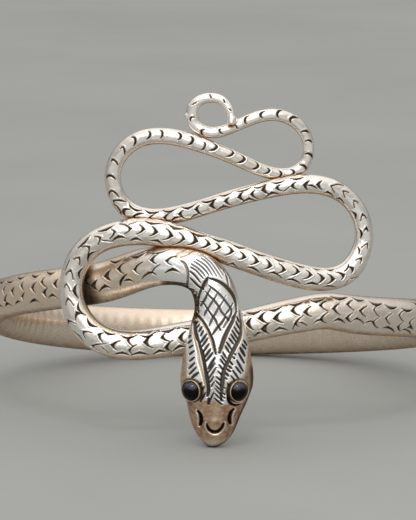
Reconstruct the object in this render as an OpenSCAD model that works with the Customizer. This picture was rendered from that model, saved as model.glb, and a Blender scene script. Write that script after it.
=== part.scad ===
/* [Wrist band] */
// Half width of the band's plan oval, left to right, at the middle of the rod
band_half_width = 33; // [32:0.5:35]
// Half depth of the band's plan oval, front to back, at the middle of the rod
band_half_depth = 30.5; // [30:0.5:32]
// Distance of the oval's middle behind the origin
band_middle_y = 1.9; // [1:0.1:3]
// Height of the rod's middle at the back, where the band rests
band_back_z = 3.7; // [3.5:0.1:4]
// Rise of the left side for each millimetre that it comes forward
rise_left = 0.314; // [0.3:0.002:0.35]
// Rise of the right side for each millimetre that it comes forward
rise_right = 0.24; // [0.22:0.005:0.26]
// Height of the rod's section at the band's left end
band_height_left = 5.8; // [5:0.1:6.5]
// Height of the rod's section at the back
band_height_back = 7.4; // [6:0.1:7.6]
// Height of the rod's section at the band's right end
band_height_right = 5.5; // [4.8:0.1:6]
// Thickness of the rod at the back, as a share of its height
band_flat = 0.6; // [0.5:0.05:0.8]

/* [Folds] */
// Distance of the folds' bowed middle surface in front of the origin
folds_front = 29.6; // [29:0.1:30]
// Radius of the bow that the folds share, seen from above
bow_radius = 50; // [45:1:60]
// Thickness of the rod in the folds, as a share of its width
fold_flat = 0.84; // [0.75:0.01:0.9]

/* [Eyes] */
// Diameter of the round stones
eye_d = 2.8; // [2.4:0.1:3]
// Height of a stone's dome above its bezel's base
eye_rise = 1.1; // [0.8:0.1:1.3]
// Distance of each eye from the middle of the head
eye_side = 3.28; // [3.2:0.02:3.4]
// Height of the eyes above the surface that the bangle rests on
eye_z = 8.4; // [8:0.1:9]
// Angle that each eye is turned outwards
eye_turn = 32; // [25:1:40]
// Clearance between a stone and its seat
eye_gap = 0.05; // [0.03:0.01:0.1]

/* [Carving] */
// Depth of the head's main grooves
groove_depth = 0.3; // [0.2:0.05:0.4]
// Radius of the head's main grooves
groove_r = 0.32; // [0.25:0.01:0.4]

/* [Hidden] */

// Corners of the rod's section
sides = 18;
// Rings that each span between two stations gets
rings_per_span = 2;
// Spans between stations along the band
band_spans = 16;
// Plan angle of the band's ends, from the back
band_end_angle = 142;
// Thickness of the rod at the band's ends, as a share of its height
band_flat_end = 0.8;

// Wall, height and hidden depth of the collar round each stone, and the depth of the stone's seat
bezel_wall = 0.32;
bezel_rise = 0.35;
bezel_root = 1.6;
seat_depth = 0.9;
// How far the stone's base runs up into its dome
stone_overlap = 0.001;
// Facets of the round shapes
bezel_sides = 28;
groove_sides = 8;
stone_sides = 48;

// Columns: x, z, width, thickness, depth behind the bowed surface, squareness.
// From the nose up to the collar. Squareness 1 is an ellipse, and less is boxier.
head_rows = [
    [-0.3,  0.00, 0.6, 0.5, -2.6,  1.0],
    [-0.3,  0.30, 2.1, 1.6, -2.6,  1.0],
    [-0.25, 1.10, 3.9, 2.6, -2.55, 0.95],
    [-0.15, 2.40, 5.6, 3.5, -2.5,  0.9],
    [-0.1,  3.90, 6.8, 4.3, -2.4,  0.85],
    [ 0.0,  5.40, 7.7, 4.9, -2.3,  0.85],
    [ 0.15, 7.00, 8.9, 5.4, -2.2,  0.85],
    [ 0.2,  8.60, 10.0, 5.8, -2.1, 0.85],
    [ 0.3, 10.30, 10.1, 6.0, -2.05, 0.85],
    [ 0.3, 12.20, 9.6, 5.9, -1.95, 0.85],
    [ 0.4, 14.20, 8.9, 5.6, -1.85, 0.85],
    [ 0.4, 16.30, 8.1, 5.3, -1.75, 0.9],
    [ 0.4, 18.20, 7.0, 5.1, -1.65, 0.95],
    [ 0.3, 19.90, 6.3, 5.0, -1.6,  1.0],
    [-0.1, 21.70, 6.0, 5.0, -1.5,  1.0],
    [-1.0, 23.40, 5.7, 4.9, -1.35, 1.0],
    [-2.5, 24.60, 5.5, 4.8, -1.1,  1.0]
];

// Columns of all the rows below: x, z, width, depth behind the bowed surface
neck_rows = [
    [ -4.9, 25.2, 5.5, -0.4],
    [ -7.7, 25.0, 5.6,  0.6],
    [-10.5, 24.1, 5.7,  1.8],
    [-13.3, 22.8, 5.8,  2.9],
    [-16.2, 21.7, 5.8,  3.5]
];
crossing_rows = [
    [ 16.2, 17.9, 5.2, 2.3],
    [ 12.7, 17.7, 5.1, 2.1],
    [  9.1, 17.1, 4.9, 2.5],
    [  4.8, 16.1, 4.7, 3.1],
    [  0.4, 15.2, 4.6, 3.3],
    [ -3.9, 14.4, 4.6, 3.0],
    [ -7.9, 13.8, 4.4, 2.1]
];
left_low_fold = [
    [-11.9, 13.5, 4.2, 0.9],
    [-16.0, 14.3, 4.1, 0.2],
    [-19.0, 17.0, 3.8, 0],
    [-20.1, 20.7, 3.5, 0],
    [-19.5, 24.5, 3.5, 0],
    [-17.2, 27.6, 3.5, 0],
    [-14.1, 29.2, 3.6, 0],
    [-10.8, 29.8, 3.8, 0]
];
second_run = [
    [-7.6, 29.6, 3.7, 0.2],
    [-4.6, 28.9, 3.6, 0.4],
    [-1.2, 27.9, 3.5, 0.4],
    [ 2.1, 26.9, 3.5, 0.2],
    [ 5.6, 25.6, 3.4, 0],
    [ 9.1, 24.4, 3.5, 0],
    [12.3, 23.4, 3.5, 0]
];
right_low_fold = [
    [15.4, 22.9, 3.3, 0],
    [18.2, 23.5, 3.2, 0],
    [20.1, 25.6, 3.0, 0],
    [20.9, 28.5, 2.7, 0],
    [20.4, 31.3, 2.6, 0],
    [18.9, 33.8, 2.5, 0],
    [16.5, 35.6, 2.6, 0],
    [13.5, 36.4, 2.7, 0]
];
third_run = [
    [10.4, 36.3, 2.6, 0.3],
    [ 7.1, 35.7, 2.5, 0.6],
    [ 3.7, 34.9, 2.5, 0.9],
    [ 0.4, 33.9, 2.4, 1.2],
    [-2.6, 32.9, 2.4, 1.6],
    [-5.6, 32.0, 2.5, 1.9]
];
left_high_fold = [
    [ -8.6, 31.6, 2.5, 2.0],
    [-11.4, 32.2, 2.5, 1.7],
    [-13.4, 34.1, 2.4, 1.1],
    [-14.2, 36.8, 2.4, 0.5],
    [-13.7, 39.5, 2.3, 0.2],
    [-12.2, 41.6, 2.3, 0],
    [-10.1, 42.9, 2.3, 0],
    [ -7.6, 43.3, 2.3, 0]
];
fourth_run = [
    [-4.8, 43.0, 2.3, 0],
    [-2.1, 42.2, 2.2, 0],
    [ 0.7, 41.1, 2.0, 0.3],
    [ 3.6, 39.8, 2.0, 0.7],
    [ 6.5, 38.4, 1.8, 1.1]
];
right_high_fold = [
    [ 9.3, 37.7, 1.8, 1.3],
    [11.4, 38.2, 1.7, 1.2],
    [12.7, 39.7, 1.6, 1.0],
    [13.0, 41.5, 1.6, 0.8],
    [12.5, 43.3, 1.6, 0.6],
    [11.4, 44.8, 1.7, 0.5],
    [ 9.8, 45.8, 1.7, 0.4],
    [ 7.8, 46.2, 1.7, 0.4]
];
fifth_run = [
    [5.6, 45.8, 1.7, 0.5],
    [3.4, 44.9, 1.6, 0.6],
    [1.4, 44.1, 1.6, 0.5]
];
tail_curl = [
    [-0.5, 43.8, 1.6, 0.3],
    [-2.1, 44.3, 1.65, 0.3],
    [-3.05, 45.4, 1.75, 0.3],
    [-3.1, 46.9, 1.65, 0.2],
    [-2.45, 48.05, 1.5, 0.1],
    [-1.2, 48.6, 1.4, 0],
    [0.3, 48.6, 1.3, -0.1],
    [1.4, 47.9, 1.25, -0.2],
    [2.05, 46.8, 1.2, -0.35],
    [2.25, 45.7, 1.25, -0.5],
    [2.2, 44.9, 1.3, -0.55]
];
// The row of a fold that lies at its outermost side, where one length of rod ends and the next begins
fold_side_row = 3;

// Carved lines on the head's face, each a list of [x, z]
carved_lines = [
    [[-2.4, 18.9], [-1.6, 18.2], [-0.9, 17.0], [-0.3, 15.5], [0.1, 13.7]],
    [[3.1, 19.1], [2.4, 18.2], [1.7, 16.7], [0.9, 15.0], [0.5, 13.7]],
    [[-3.2, 18.9], [-2.8, 17.1], [-2.2, 15.0], [-1.6, 12.8], [-1.1, 10.3], [-0.9, 8.0]],
    [[3.2, 19.2], [3.7, 17.5], [3.2, 15.3], [1.8, 12.6], [1.2, 10.4], [0.9, 7.6]],
    [[-0.9, 24.2], [-1.6, 22.9], [-2.3, 21.2], [-2.5, 20.0]],
    [[-0.9, 24.2], [0.4, 23.7], [1.6, 22.9], [2.4, 22.0], [2.9, 20.2]]
];
nostril_lines = [
    [[-2.3, 5.4], [-1.9, 4.5], [-2.1, 3.4]],
    [[2.5, 5.6], [2.0, 4.5], [2.2, 3.6]]
];
mouth_line = [[-1.0, 3.4], [-0.6, 2.7], [0, 2.35], [0.7, 2.7], [1.1, 3.4]];

// A station of the rod is [x, y, z, width, thickness, squareness, outward x, outward y]
function bowed_y(x, behind) = x * x / (2 * bow_radius) + behind - folds_front;
function bowed_station(x, z, width, thickness, behind, square) =
    [x, bowed_y(x, behind), z, width, thickness, square, x / bow_radius, -1];
function head_stations() =
    [for (r = head_rows) bowed_station(r[0], r[1], r[2], r[3], r[4], r[5])];
function fold_stations(rows) =
    [for (r = rows) bowed_station(r[0], r[1], r[2], r[2] * fold_flat, r[3], 1)];

function band_station(share) =
    let (angle = band_end_angle * share)
    let (x = band_half_width * sin(angle), y = band_half_depth * cos(angle))
    let (on_left = share < 0)
    let (rise = on_left ? rise_left : rise_right)
    let (end_height = on_left ? band_height_left : band_height_right)
    let (at_back = 0.5 + 0.5 * cos(180 * share))
    let (height = end_height + (band_height_back - end_height) * at_back)
    let (flat = band_flat_end + (band_flat - band_flat_end) * at_back)
    [x, y + band_middle_y, band_back_z + rise * (band_half_depth - y), height, height * flat, 1,
     sin(angle) / band_half_width * band_half_depth, cos(angle)];
function band_stations() =
    [for (i = [0 : band_spans]) band_station(2 * i / band_spans - 1)];

stations = concat(
    head_stations(), fold_stations(neck_rows), band_stations(), fold_stations(crossing_rows),
    fold_stations(left_low_fold), fold_stations(second_run),
    fold_stations(right_low_fold), fold_stations(third_run),
    fold_stations(left_high_fold), fold_stations(fourth_run),
    fold_stations(right_high_fold), fold_stations(fifth_run), fold_stations(tail_curl));

// Stations at which one length of rod ends and the next begins
left_low_start = len(head_rows) + len(neck_rows) + band_spans + 1 + len(crossing_rows);
right_low_start = left_low_start + len(left_low_fold) + len(second_run);
left_high_start = right_low_start + len(right_low_fold) + len(third_run);
right_high_start = left_high_start + len(left_high_fold) + len(fourth_run);
curl_start = right_high_start + len(right_high_fold) + len(fifth_run);
last_station = len(stations) - 1;
joints_of_rod = [
    0, left_low_start, right_low_start + fold_side_row, left_high_start + fold_side_row,
    right_high_start + fold_side_row, curl_start + fold_side_row, last_station];

// A smooth cubic curve that passes by the stations: its controls are the stations pushed outwards
function at_station(c, i) =
    (i == 0 || i == last_station) ? c[i] : (c[i - 1] + 4 * c[i] + c[i + 1]) / 6;
function pushed(c) = [for (i = [0 : last_station]) c[i] + stations[i] - at_station(c, i)];
controls = pushed(pushed(stations));
function control(i) =
    i < 0 ? 2 * controls[0] - controls[1]
    : i > last_station ? 2 * controls[last_station] - controls[last_station - 1]
    : controls[i];
function curve_at(i, u) =
    ((1 - u) ^ 3 * control(i - 1)
     + (3 * u ^ 3 - 6 * u ^ 2 + 4) * control(i)
     + (-3 * u ^ 3 + 3 * u ^ 2 + 3 * u + 1) * control(i + 1)
     + u ^ 3 * control(i + 2)) / 6;
function heading_at(i, u) =
    let (c = -(1 - u) ^ 2 * control(i - 1)
         + (3 * u ^ 2 - 4 * u) * control(i)
         + (-3 * u ^ 2 + 2 * u + 1) * control(i + 1)
         + u ^ 2 * control(i + 2))
    unit([c[0], c[1], c[2]]);
function unit(v) = v / norm(v);

// One ring of the rod's surface: an ellipse, or a boxier curve on the head
function rounded(c, square) = sign(c) * abs(c) ^ square;
function ring(i, u) =
    let (s = curve_at(i, u), heading = heading_at(i, u))
    let (away = [s[6], s[7], 0])
    let (outward = unit(away - (away * heading) * heading))
    let (across = cross(heading, outward))
    [for (k = [0 : sides - 1])
        let (a = 360 * (k + 0.5) / sides)
        [s[0], s[1], s[2]]
            + across * s[3] / 2 * rounded(cos(a), s[5])
            + outward * s[4] / 2 * rounded(sin(a), s[5])];

module rod(first, last) {
    rings = concat(
        [for (i = [first : last - 1], k = [0 : rings_per_span - 1]) ring(i, k / rings_per_span)],
        [ring(last, 0)]);
    count = len(rings);
    points = [for (r = rings, p = r) p];
    walls = [for (r = [0 : count - 2], k = [0 : sides - 1])
        let (a = r * sides + k, b = r * sides + (k + 1) % sides)
        each [[a, b, a + sides], [b, b + sides, a + sides]]];
    start_cap = [for (k = [sides - 1 : -1 : 0]) k];
    end_cap = [for (k = [0 : sides - 1]) (count - 1) * sides + k];
    polyhedron(points, concat(walls, [start_cap, end_cap]));
}

// The head's front surface at a given x and z
function head_value(z, column) = lookup(z, [for (r = head_rows) [r[1], r[column]]]);
function head_front_y(x, z) =
    let (share = 2 * abs(x - head_value(z, 0)) / head_value(z, 2))
    let (square = head_value(z, 5))
    let (bulge = max(0, 1 - min(1, share) ^ (2 / square)) ^ (square / 2))
    bowed_y(x, head_value(z, 4)) - head_value(z, 3) / 2 * bulge;

module groove(line) {
    lift = groove_r - groove_depth;
    for (i = [0 : len(line) - 2])
        hull()
            for (p = [line[i], line[i + 1]])
                translate([p[0], head_front_y(p[0], p[1]) - lift, p[1]])
                    sphere(groove_r, $fn = groove_sides);
}

module at_eye(side) {
    x = side * eye_side;
    translate([x, head_front_y(x, eye_z), eye_z])
        rotate([90, 0, side * eye_turn])
            children();
}

// The thin collar soldered on round each stone: a straight wall with a rounded rim
module bezel() {
    rim_z = bezel_rise - bezel_wall / 2;
    translate([0, 0, -bezel_root])
        cylinder(r = eye_d / 2 + bezel_wall, h = bezel_root + rim_z, $fn = bezel_sides);
    translate([0, 0, rim_z])
        rotate_extrude($fn = bezel_sides)
            translate([eye_d / 2 + bezel_wall / 2, 0])
                circle(d = bezel_wall, $fn = groove_sides);
}
// The round pocket that a stone sits in, cut out through the collar's top
module seat() {
    translate([0, 0, -seat_depth])
        cylinder(r = eye_d / 2 + eye_gap, h = seat_depth + eye_rise, $fn = bezel_sides);
}

module snake() {
    color("silver")
        difference() {
            union() {
                for (j = [0 : len(joints_of_rod) - 2])
                    rod(joints_of_rod[j], joints_of_rod[j + 1]);
                for (side = [-1, 1])
                    at_eye(side) bezel();
            }
            for (line = concat(carved_lines, nostril_lines, [mouth_line]))
                groove(line);
            for (side = [-1, 1])
                at_eye(side) seat();
        }
}

// A round cabochon: a short straight base with a domed top
module eye(side) {
    base = seat_depth - eye_gap;
    dome_r = (eye_d * eye_d / 4 + eye_rise * eye_rise) / (2 * eye_rise);
    color("black")
        at_eye(side) {
            translate([0, 0, -base])
                cylinder(d = eye_d, h = base + stone_overlap, $fn = stone_sides);
            intersection() {
                translate([0, 0, eye_rise - dome_r])
                    sphere(dome_r, $fn = stone_sides);
                cylinder(d = eye_d, h = 2 * eye_rise, $fn = stone_sides);
            }
        }
}
module eye_left() eye(-1);
module eye_right() eye(1);

snake();
eye_left();
eye_right();
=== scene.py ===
"""The looks of a silver snake bangle: a forged rod with a carved head, a stamped body and black eyes."""

import math

import bpy
import numpy as np
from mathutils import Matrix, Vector


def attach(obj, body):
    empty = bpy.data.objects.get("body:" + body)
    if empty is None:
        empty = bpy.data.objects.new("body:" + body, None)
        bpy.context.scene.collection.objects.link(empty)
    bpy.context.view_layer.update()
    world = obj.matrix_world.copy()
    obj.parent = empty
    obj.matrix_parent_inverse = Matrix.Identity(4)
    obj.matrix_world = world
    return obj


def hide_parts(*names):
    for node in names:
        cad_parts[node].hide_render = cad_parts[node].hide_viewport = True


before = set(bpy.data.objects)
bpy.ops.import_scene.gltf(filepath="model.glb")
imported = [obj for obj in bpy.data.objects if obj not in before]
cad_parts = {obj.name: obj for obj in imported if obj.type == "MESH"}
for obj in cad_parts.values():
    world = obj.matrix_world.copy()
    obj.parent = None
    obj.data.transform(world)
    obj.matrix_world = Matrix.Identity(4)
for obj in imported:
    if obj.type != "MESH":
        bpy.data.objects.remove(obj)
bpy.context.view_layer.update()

MM = 0.001
rng = np.random.default_rng(7)

# Camera and the photo's frame, in millimetres and pixels

VIEW_TARGET = np.array((-0.97, -29.6, 26.0))
VIEW_DISTANCE = 420.0
VIEW_ELEVATION = math.radians(9.7)
TO_CAMERA = np.array((0, -math.cos(VIEW_ELEVATION), math.sin(VIEW_ELEVATION)))
PICTURE_UP = np.array((0, math.sin(VIEW_ELEVATION), math.cos(VIEW_ELEVATION)))
CAMERA_PLACE = VIEW_TARGET + TO_CAMERA * VIEW_DISTANCE
SENSOR, LENS = 36.0, 209.35
CLIP_START, CLIP_END = 0.01, 20  # metres
PHOTO_WIDTH, PHOTO_HEIGHT = 416, 520
FOCAL_PIXELS = LENS / SENSOR * PHOTO_HEIGHT


def make_camera():
    data = bpy.data.cameras.new("camera")
    camera = bpy.data.objects.new("camera", data)
    bpy.context.collection.objects.link(camera)
    camera.location = Vector(CAMERA_PLACE * MM)
    camera.rotation_mode = "QUATERNION"
    camera.rotation_quaternion = Vector(-TO_CAMERA).to_track_quat("-Z", "Y")
    data.sensor_fit = "AUTO"
    data.sensor_width = SENSOR
    data.lens = LENS
    data.clip_start, data.clip_end = CLIP_START, CLIP_END
    bpy.context.scene.camera = camera


def in_photo(points):
    """The pixels of the photo where points show."""
    away = points - VIEW_TARGET
    right, down = away[..., 0], -(away @ PICTURE_UP)
    slopes = np.stack([right, down], -1) / (VIEW_DISTANCE - away @ TO_CAMERA)[..., None]
    return slopes * FOCAL_PIXELS + (PHOTO_WIDTH / 2, PHOTO_HEIGHT / 2)


make_camera()

# The rod's path, the same as in the part's source, in millimetres

BAND_HALF_WIDTH, BAND_HALF_DEPTH, BAND_MIDDLE_Y = 33, 30.5, 1.9
BAND_BACK_Z = 3.7
RISE_LEFT, RISE_RIGHT = 0.314, 0.24
BAND_HEIGHT_LEFT, BAND_HEIGHT_BACK, BAND_HEIGHT_RIGHT = 5.8, 7.4, 5.5
BAND_FLAT, BAND_FLAT_END = 0.6, 0.8
BAND_SPANS, BAND_END_ANGLE = 16, 142
FOLDS_FRONT, BOW_RADIUS, FOLD_FLAT = 29.6, 50, 0.84

# x, z, width, thickness, depth behind the bowed surface, squareness
HEAD_ROWS = [
    (-0.3, 0.00, 0.6, 0.5, -2.6, 1.0), (-0.3, 0.30, 2.1, 1.6, -2.6, 1.0),
    (-0.25, 1.10, 3.9, 2.6, -2.55, 0.95), (-0.15, 2.40, 5.6, 3.5, -2.5, 0.9),
    (-0.1, 3.90, 6.8, 4.3, -2.4, 0.85), (0.0, 5.40, 7.7, 4.9, -2.3, 0.85),
    (0.15, 7.00, 8.9, 5.4, -2.2, 0.85), (0.2, 8.60, 10.0, 5.8, -2.1, 0.85),
    (0.3, 10.30, 10.1, 6.0, -2.05, 0.85), (0.3, 12.20, 9.6, 5.9, -1.95, 0.85),
    (0.4, 14.20, 8.9, 5.6, -1.85, 0.85), (0.4, 16.30, 8.1, 5.3, -1.75, 0.9),
    (0.4, 18.20, 7.0, 5.1, -1.65, 0.95), (0.3, 19.90, 6.3, 5.0, -1.6, 1.0),
    (-0.1, 21.70, 6.0, 5.0, -1.5, 1.0), (-1.0, 23.40, 5.7, 4.9, -1.35, 1.0),
    (-2.5, 24.60, 5.5, 4.8, -1.1, 1.0),
]
# x, z, width, depth behind the bowed surface
NECK_ROWS = [
    (-4.9, 25.2, 5.5, -0.4), (-7.7, 25.0, 5.6, 0.6), (-10.5, 24.1, 5.7, 1.8),
    (-13.3, 22.8, 5.8, 2.9), (-16.2, 21.7, 5.8, 3.5),
]
FOLD_ROWS = [
    # Crossing behind the head
    (16.2, 17.9, 5.2, 2.3), (12.7, 17.7, 5.1, 2.1), (9.1, 17.1, 4.9, 2.5),
    (4.8, 16.1, 4.7, 3.1), (0.4, 15.2, 4.6, 3.3), (-3.9, 14.4, 4.6, 3.0),
    (-7.9, 13.8, 4.4, 2.1),
    # Left low fold
    (-11.9, 13.5, 4.2, 0.9), (-16.0, 14.3, 4.1, 0.2), (-19.0, 17.0, 3.8, 0),
    (-20.1, 20.7, 3.5, 0), (-19.5, 24.5, 3.5, 0), (-17.2, 27.6, 3.5, 0),
    (-14.1, 29.2, 3.6, 0), (-10.8, 29.8, 3.8, 0),
    # Second run
    (-7.6, 29.6, 3.7, 0.2), (-4.6, 28.9, 3.6, 0.4), (-1.2, 27.9, 3.5, 0.4),
    (2.1, 26.9, 3.5, 0.2), (5.6, 25.6, 3.4, 0), (9.1, 24.4, 3.5, 0), (12.3, 23.4, 3.5, 0),
    # Right low fold
    (15.4, 22.9, 3.3, 0), (18.2, 23.5, 3.2, 0), (20.1, 25.6, 3.0, 0), (20.9, 28.5, 2.7, 0),
    (20.4, 31.3, 2.6, 0), (18.9, 33.8, 2.5, 0), (16.5, 35.6, 2.6, 0), (13.5, 36.4, 2.7, 0),
    # Third run
    (10.4, 36.3, 2.6, 0.3), (7.1, 35.7, 2.5, 0.6), (3.7, 34.9, 2.5, 0.9),
    (0.4, 33.9, 2.4, 1.2), (-2.6, 32.9, 2.4, 1.6), (-5.6, 32.0, 2.5, 1.9),
    # Left high fold
    (-8.6, 31.6, 2.5, 2.0), (-11.4, 32.2, 2.5, 1.7), (-13.4, 34.1, 2.4, 1.1),
    (-14.2, 36.8, 2.4, 0.5), (-13.7, 39.5, 2.3, 0.2), (-12.2, 41.6, 2.3, 0),
    (-10.1, 42.9, 2.3, 0), (-7.6, 43.3, 2.3, 0),
    # Fourth run
    (-4.8, 43.0, 2.3, 0), (-2.1, 42.2, 2.2, 0), (0.7, 41.1, 2.0, 0.3),
    (3.6, 39.8, 2.0, 0.7), (6.5, 38.4, 1.8, 1.1),
    # Right high fold
    (9.3, 37.7, 1.8, 1.3), (11.4, 38.2, 1.7, 1.2), (12.7, 39.7, 1.6, 1.0),
    (13.0, 41.5, 1.6, 0.8), (12.5, 43.3, 1.6, 0.6), (11.4, 44.8, 1.7, 0.5),
    (9.8, 45.8, 1.7, 0.4), (7.8, 46.2, 1.7, 0.4),
    # Fifth run
    (5.6, 45.8, 1.7, 0.5), (3.4, 44.9, 1.6, 0.6), (1.4, 44.1, 1.6, 0.5),
    # Tail curl
    (-0.5, 43.8, 1.6, 0.3), (-2.1, 44.3, 1.65, 0.3), (-3.05, 45.4, 1.75, 0.3),
    (-3.1, 46.9, 1.65, 0.2), (-2.45, 48.05, 1.5, 0.1), (-1.2, 48.6, 1.4, 0),
    (0.3, 48.6, 1.3, -0.1), (1.4, 47.9, 1.25, -0.2), (2.05, 46.8, 1.2, -0.35),
    (2.25, 45.7, 1.25, -0.5), (2.2, 44.9, 1.3, -0.55),
]
# Columns of a station
CENTRE, WIDTH, THICKNESS, SQUARENESS, OUTWARD = slice(0, 3), 3, 4, 5, slice(6, 8)


def bowed(x, z, width, thickness, behind, square):
    y = x * x / (2 * BOW_RADIUS) + behind - FOLDS_FRONT
    return [x, y, z, width, thickness, square, x / BOW_RADIUS, -1]


def band_station(share):
    angle = math.radians(BAND_END_ANGLE * share)
    x, y = BAND_HALF_WIDTH * math.sin(angle), BAND_HALF_DEPTH * math.cos(angle)
    rise = RISE_LEFT if share < 0 else RISE_RIGHT
    end_height = BAND_HEIGHT_LEFT if share < 0 else BAND_HEIGHT_RIGHT
    at_back = 0.5 + 0.5 * math.cos(math.pi * share)
    height = end_height + (BAND_HEIGHT_BACK - end_height) * at_back
    flat = BAND_FLAT_END + (BAND_FLAT - BAND_FLAT_END) * at_back
    z = BAND_BACK_Z + rise * (BAND_HALF_DEPTH - y)
    outward = math.sin(angle) / BAND_HALF_WIDTH * BAND_HALF_DEPTH, math.cos(angle)
    return [x, y + BAND_MIDDLE_Y, z, height, height * flat, 1, *outward]


def rod_stations():
    head = [bowed(*row) for row in HEAD_ROWS]
    band = [band_station(2 * i / BAND_SPANS - 1) for i in range(BAND_SPANS + 1)]
    neck, folds = (
        [bowed(x, z, w, w * FOLD_FLAT, behind, 1) for x, z, w, behind in rows]
        for rows in (NECK_ROWS, FOLD_ROWS)
    )
    return np.array(head + neck + band + folds)


def curve_controls(stations):
    """Controls of the cubic curve that passes by the stations."""

    def at_stations(controls):
        passed = controls.copy()
        passed[1:-1] = (controls[:-2] + 4 * controls[1:-1] + controls[2:]) / 6
        return passed

    controls = stations
    for _ in range(2):
        controls = controls + stations - at_stations(controls)
    first, last = 2 * controls[0] - controls[1], 2 * controls[-1] - controls[-2]
    return np.vstack([first, controls, last])


def unit(vectors):
    return vectors / np.linalg.norm(vectors, axis=-1, keepdims=True)


class Rod:
    """The snake's plain surface, by the distance along it from the nose and the angle round it. The angle is
    90 degrees where the surface faces outwards, and 0 on the right of its path seen from outside."""

    STEPS = 60  # in the table of lengths, to each span between stations

    def __init__(self):
        self.controls = curve_controls(rod_stations())
        self.spans = len(self.controls) - 3
        self.table_u = np.linspace(0, self.spans, self.spans * self.STEPS + 1)
        places = self.evaluate(self.table_u)[0][:, CENTRE]
        steps = np.linalg.norm(np.diff(places, axis=0), axis=1)
        self.table_s = np.concatenate([[0], np.cumsum(steps)])
        self.length = self.table_s[-1]

    def evaluate(self, u):
        i = np.minimum(u.astype(int), self.spans - 1)
        t = (u - i)[:, None]
        a, b, c, d = (self.controls[i + k] for k in range(4))
        value = ((1 - t) ** 3 * a + (3 * t**3 - 6 * t**2 + 4) * b
                 + (-3 * t**3 + 3 * t**2 + 3 * t + 1) * c + t**3 * d) / 6
        slope = (-((1 - t) ** 2) * a + (3 * t**2 - 4 * t) * b
                 + (-3 * t**2 + 2 * t + 1) * c + t**2 * d)
        return value, unit(slope[:, CENTRE])

    def frame_at(self, s):
        """Centre, heading, across, outward and the station values at each s. Past its ends the path is
        straight."""
        inside = np.clip(s, 0, self.length)
        value, heading = self.evaluate(np.interp(inside, self.table_s, self.table_u))
        away = np.column_stack([value[:, OUTWARD], np.zeros(len(s))])
        outward = unit(away - (away * heading).sum(1, keepdims=True) * heading)
        centre = value[:, CENTRE] + (s - inside)[:, None] * heading
        return centre, heading, np.cross(heading, outward), outward, value

    def surface(self, s, phi):
        """Points for rows s and columns phi, in radians."""
        centre, _, across, outward, value = self.frame_at(s)
        square = value[:, SQUARENESS][:, None]
        tip = self.tip_share(s)[:, None]

        def rounded(c):
            return np.sign(c) * np.abs(c) ** square * tip

        right = (value[:, WIDTH][:, None] / 2 * rounded(np.cos(phi)))[..., None] * across[:, None]
        front = (value[:, THICKNESS][:, None] / 2 * rounded(np.sin(phi)))[..., None] * outward[:, None]
        return centre[:, None] + right + front

    def tip_share(self, s):
        """1 along the rod, and down to a small flat at the tail's domed end."""
        left = np.clip((self.length - s) / TAIL_DOME, 0, 1)
        return np.sqrt(np.clip(1 - (1 - left) ** 2, TAIL_FLAT, 1))


TAIL_DOME, TAIL_FLAT = 0.45, 0.02
rod = Rod()

# Small tools


def smooth(low, high, x):
    t = np.clip((x - low) / (high - low), 0, 1)
    return t * t * (3 - 2 * t)


def bell(x, width):
    return np.exp(-((x / width) ** 2))


def grid_normals(points):
    """Unit normals of a grid of points that closes round its columns."""
    along = np.gradient(points, axis=0)
    around = np.roll(points, -1, 1) - np.roll(points, 1, 1)
    return unit(np.cross(along, around))


def spaced(*zones):
    """Places from the first zone's start to the last one's end. Each zone is (start, end, step)."""
    coarser = 1
    places = [
        np.linspace(start, end, max(2, round((end - start) / (step * coarser))), endpoint=False)
        for start, end, step in zones
    ]
    return np.concatenate([*places, [zones[-1][1]]])


def flowing(line, steps=6):
    """The line's points with a smooth curve through them."""
    p = np.array(line, float)
    if len(p) < 3:
        return p
    p = np.vstack([2 * p[0] - p[1], p, 2 * p[-1] - p[-2]])
    t = np.linspace(0, 1, steps, endpoint=False)[:, None]
    spans = [
        b + t * (c - a) / 2 + t**2 * (a - 2.5 * b + 2 * c - d / 2) + t**3 * (1.5 * (b - c) + (d - a) / 2)
        for a, b, c, d in zip(p, p[1:], p[2:], p[3:])
    ]
    return np.vstack([*spans, p[-2:-1]])


def along_line(line, x, z):
    """Each place's distance from the line, positive on its left, and its share of the line, 0 to 1."""
    best, signed, share = np.full(x.shape, 1e9), np.zeros(x.shape), np.zeros(x.shape)
    lengths = np.linalg.norm(np.diff(line, axis=0), axis=1)
    run = np.concatenate([[0], np.cumsum(lengths)])
    for a, b, length, start in zip(line, line[1:], lengths, run):
        ux, uz = (b - a) / length
        along = np.clip((x - a[0]) * ux + (z - a[1]) * uz, 0, length)
        dx, dz = x - a[0] - along * ux, z - a[1] - along * uz
        distance = np.hypot(dx, dz)
        nearer = distance < best
        best = np.where(nearer, distance, best)
        signed = np.where(nearer, np.where(ux * dz - uz * dx > 0, distance, -distance), signed)
        share = np.where(nearer, (start + along) / run[-1], share)
    return signed, share


# Stamped marks

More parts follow.
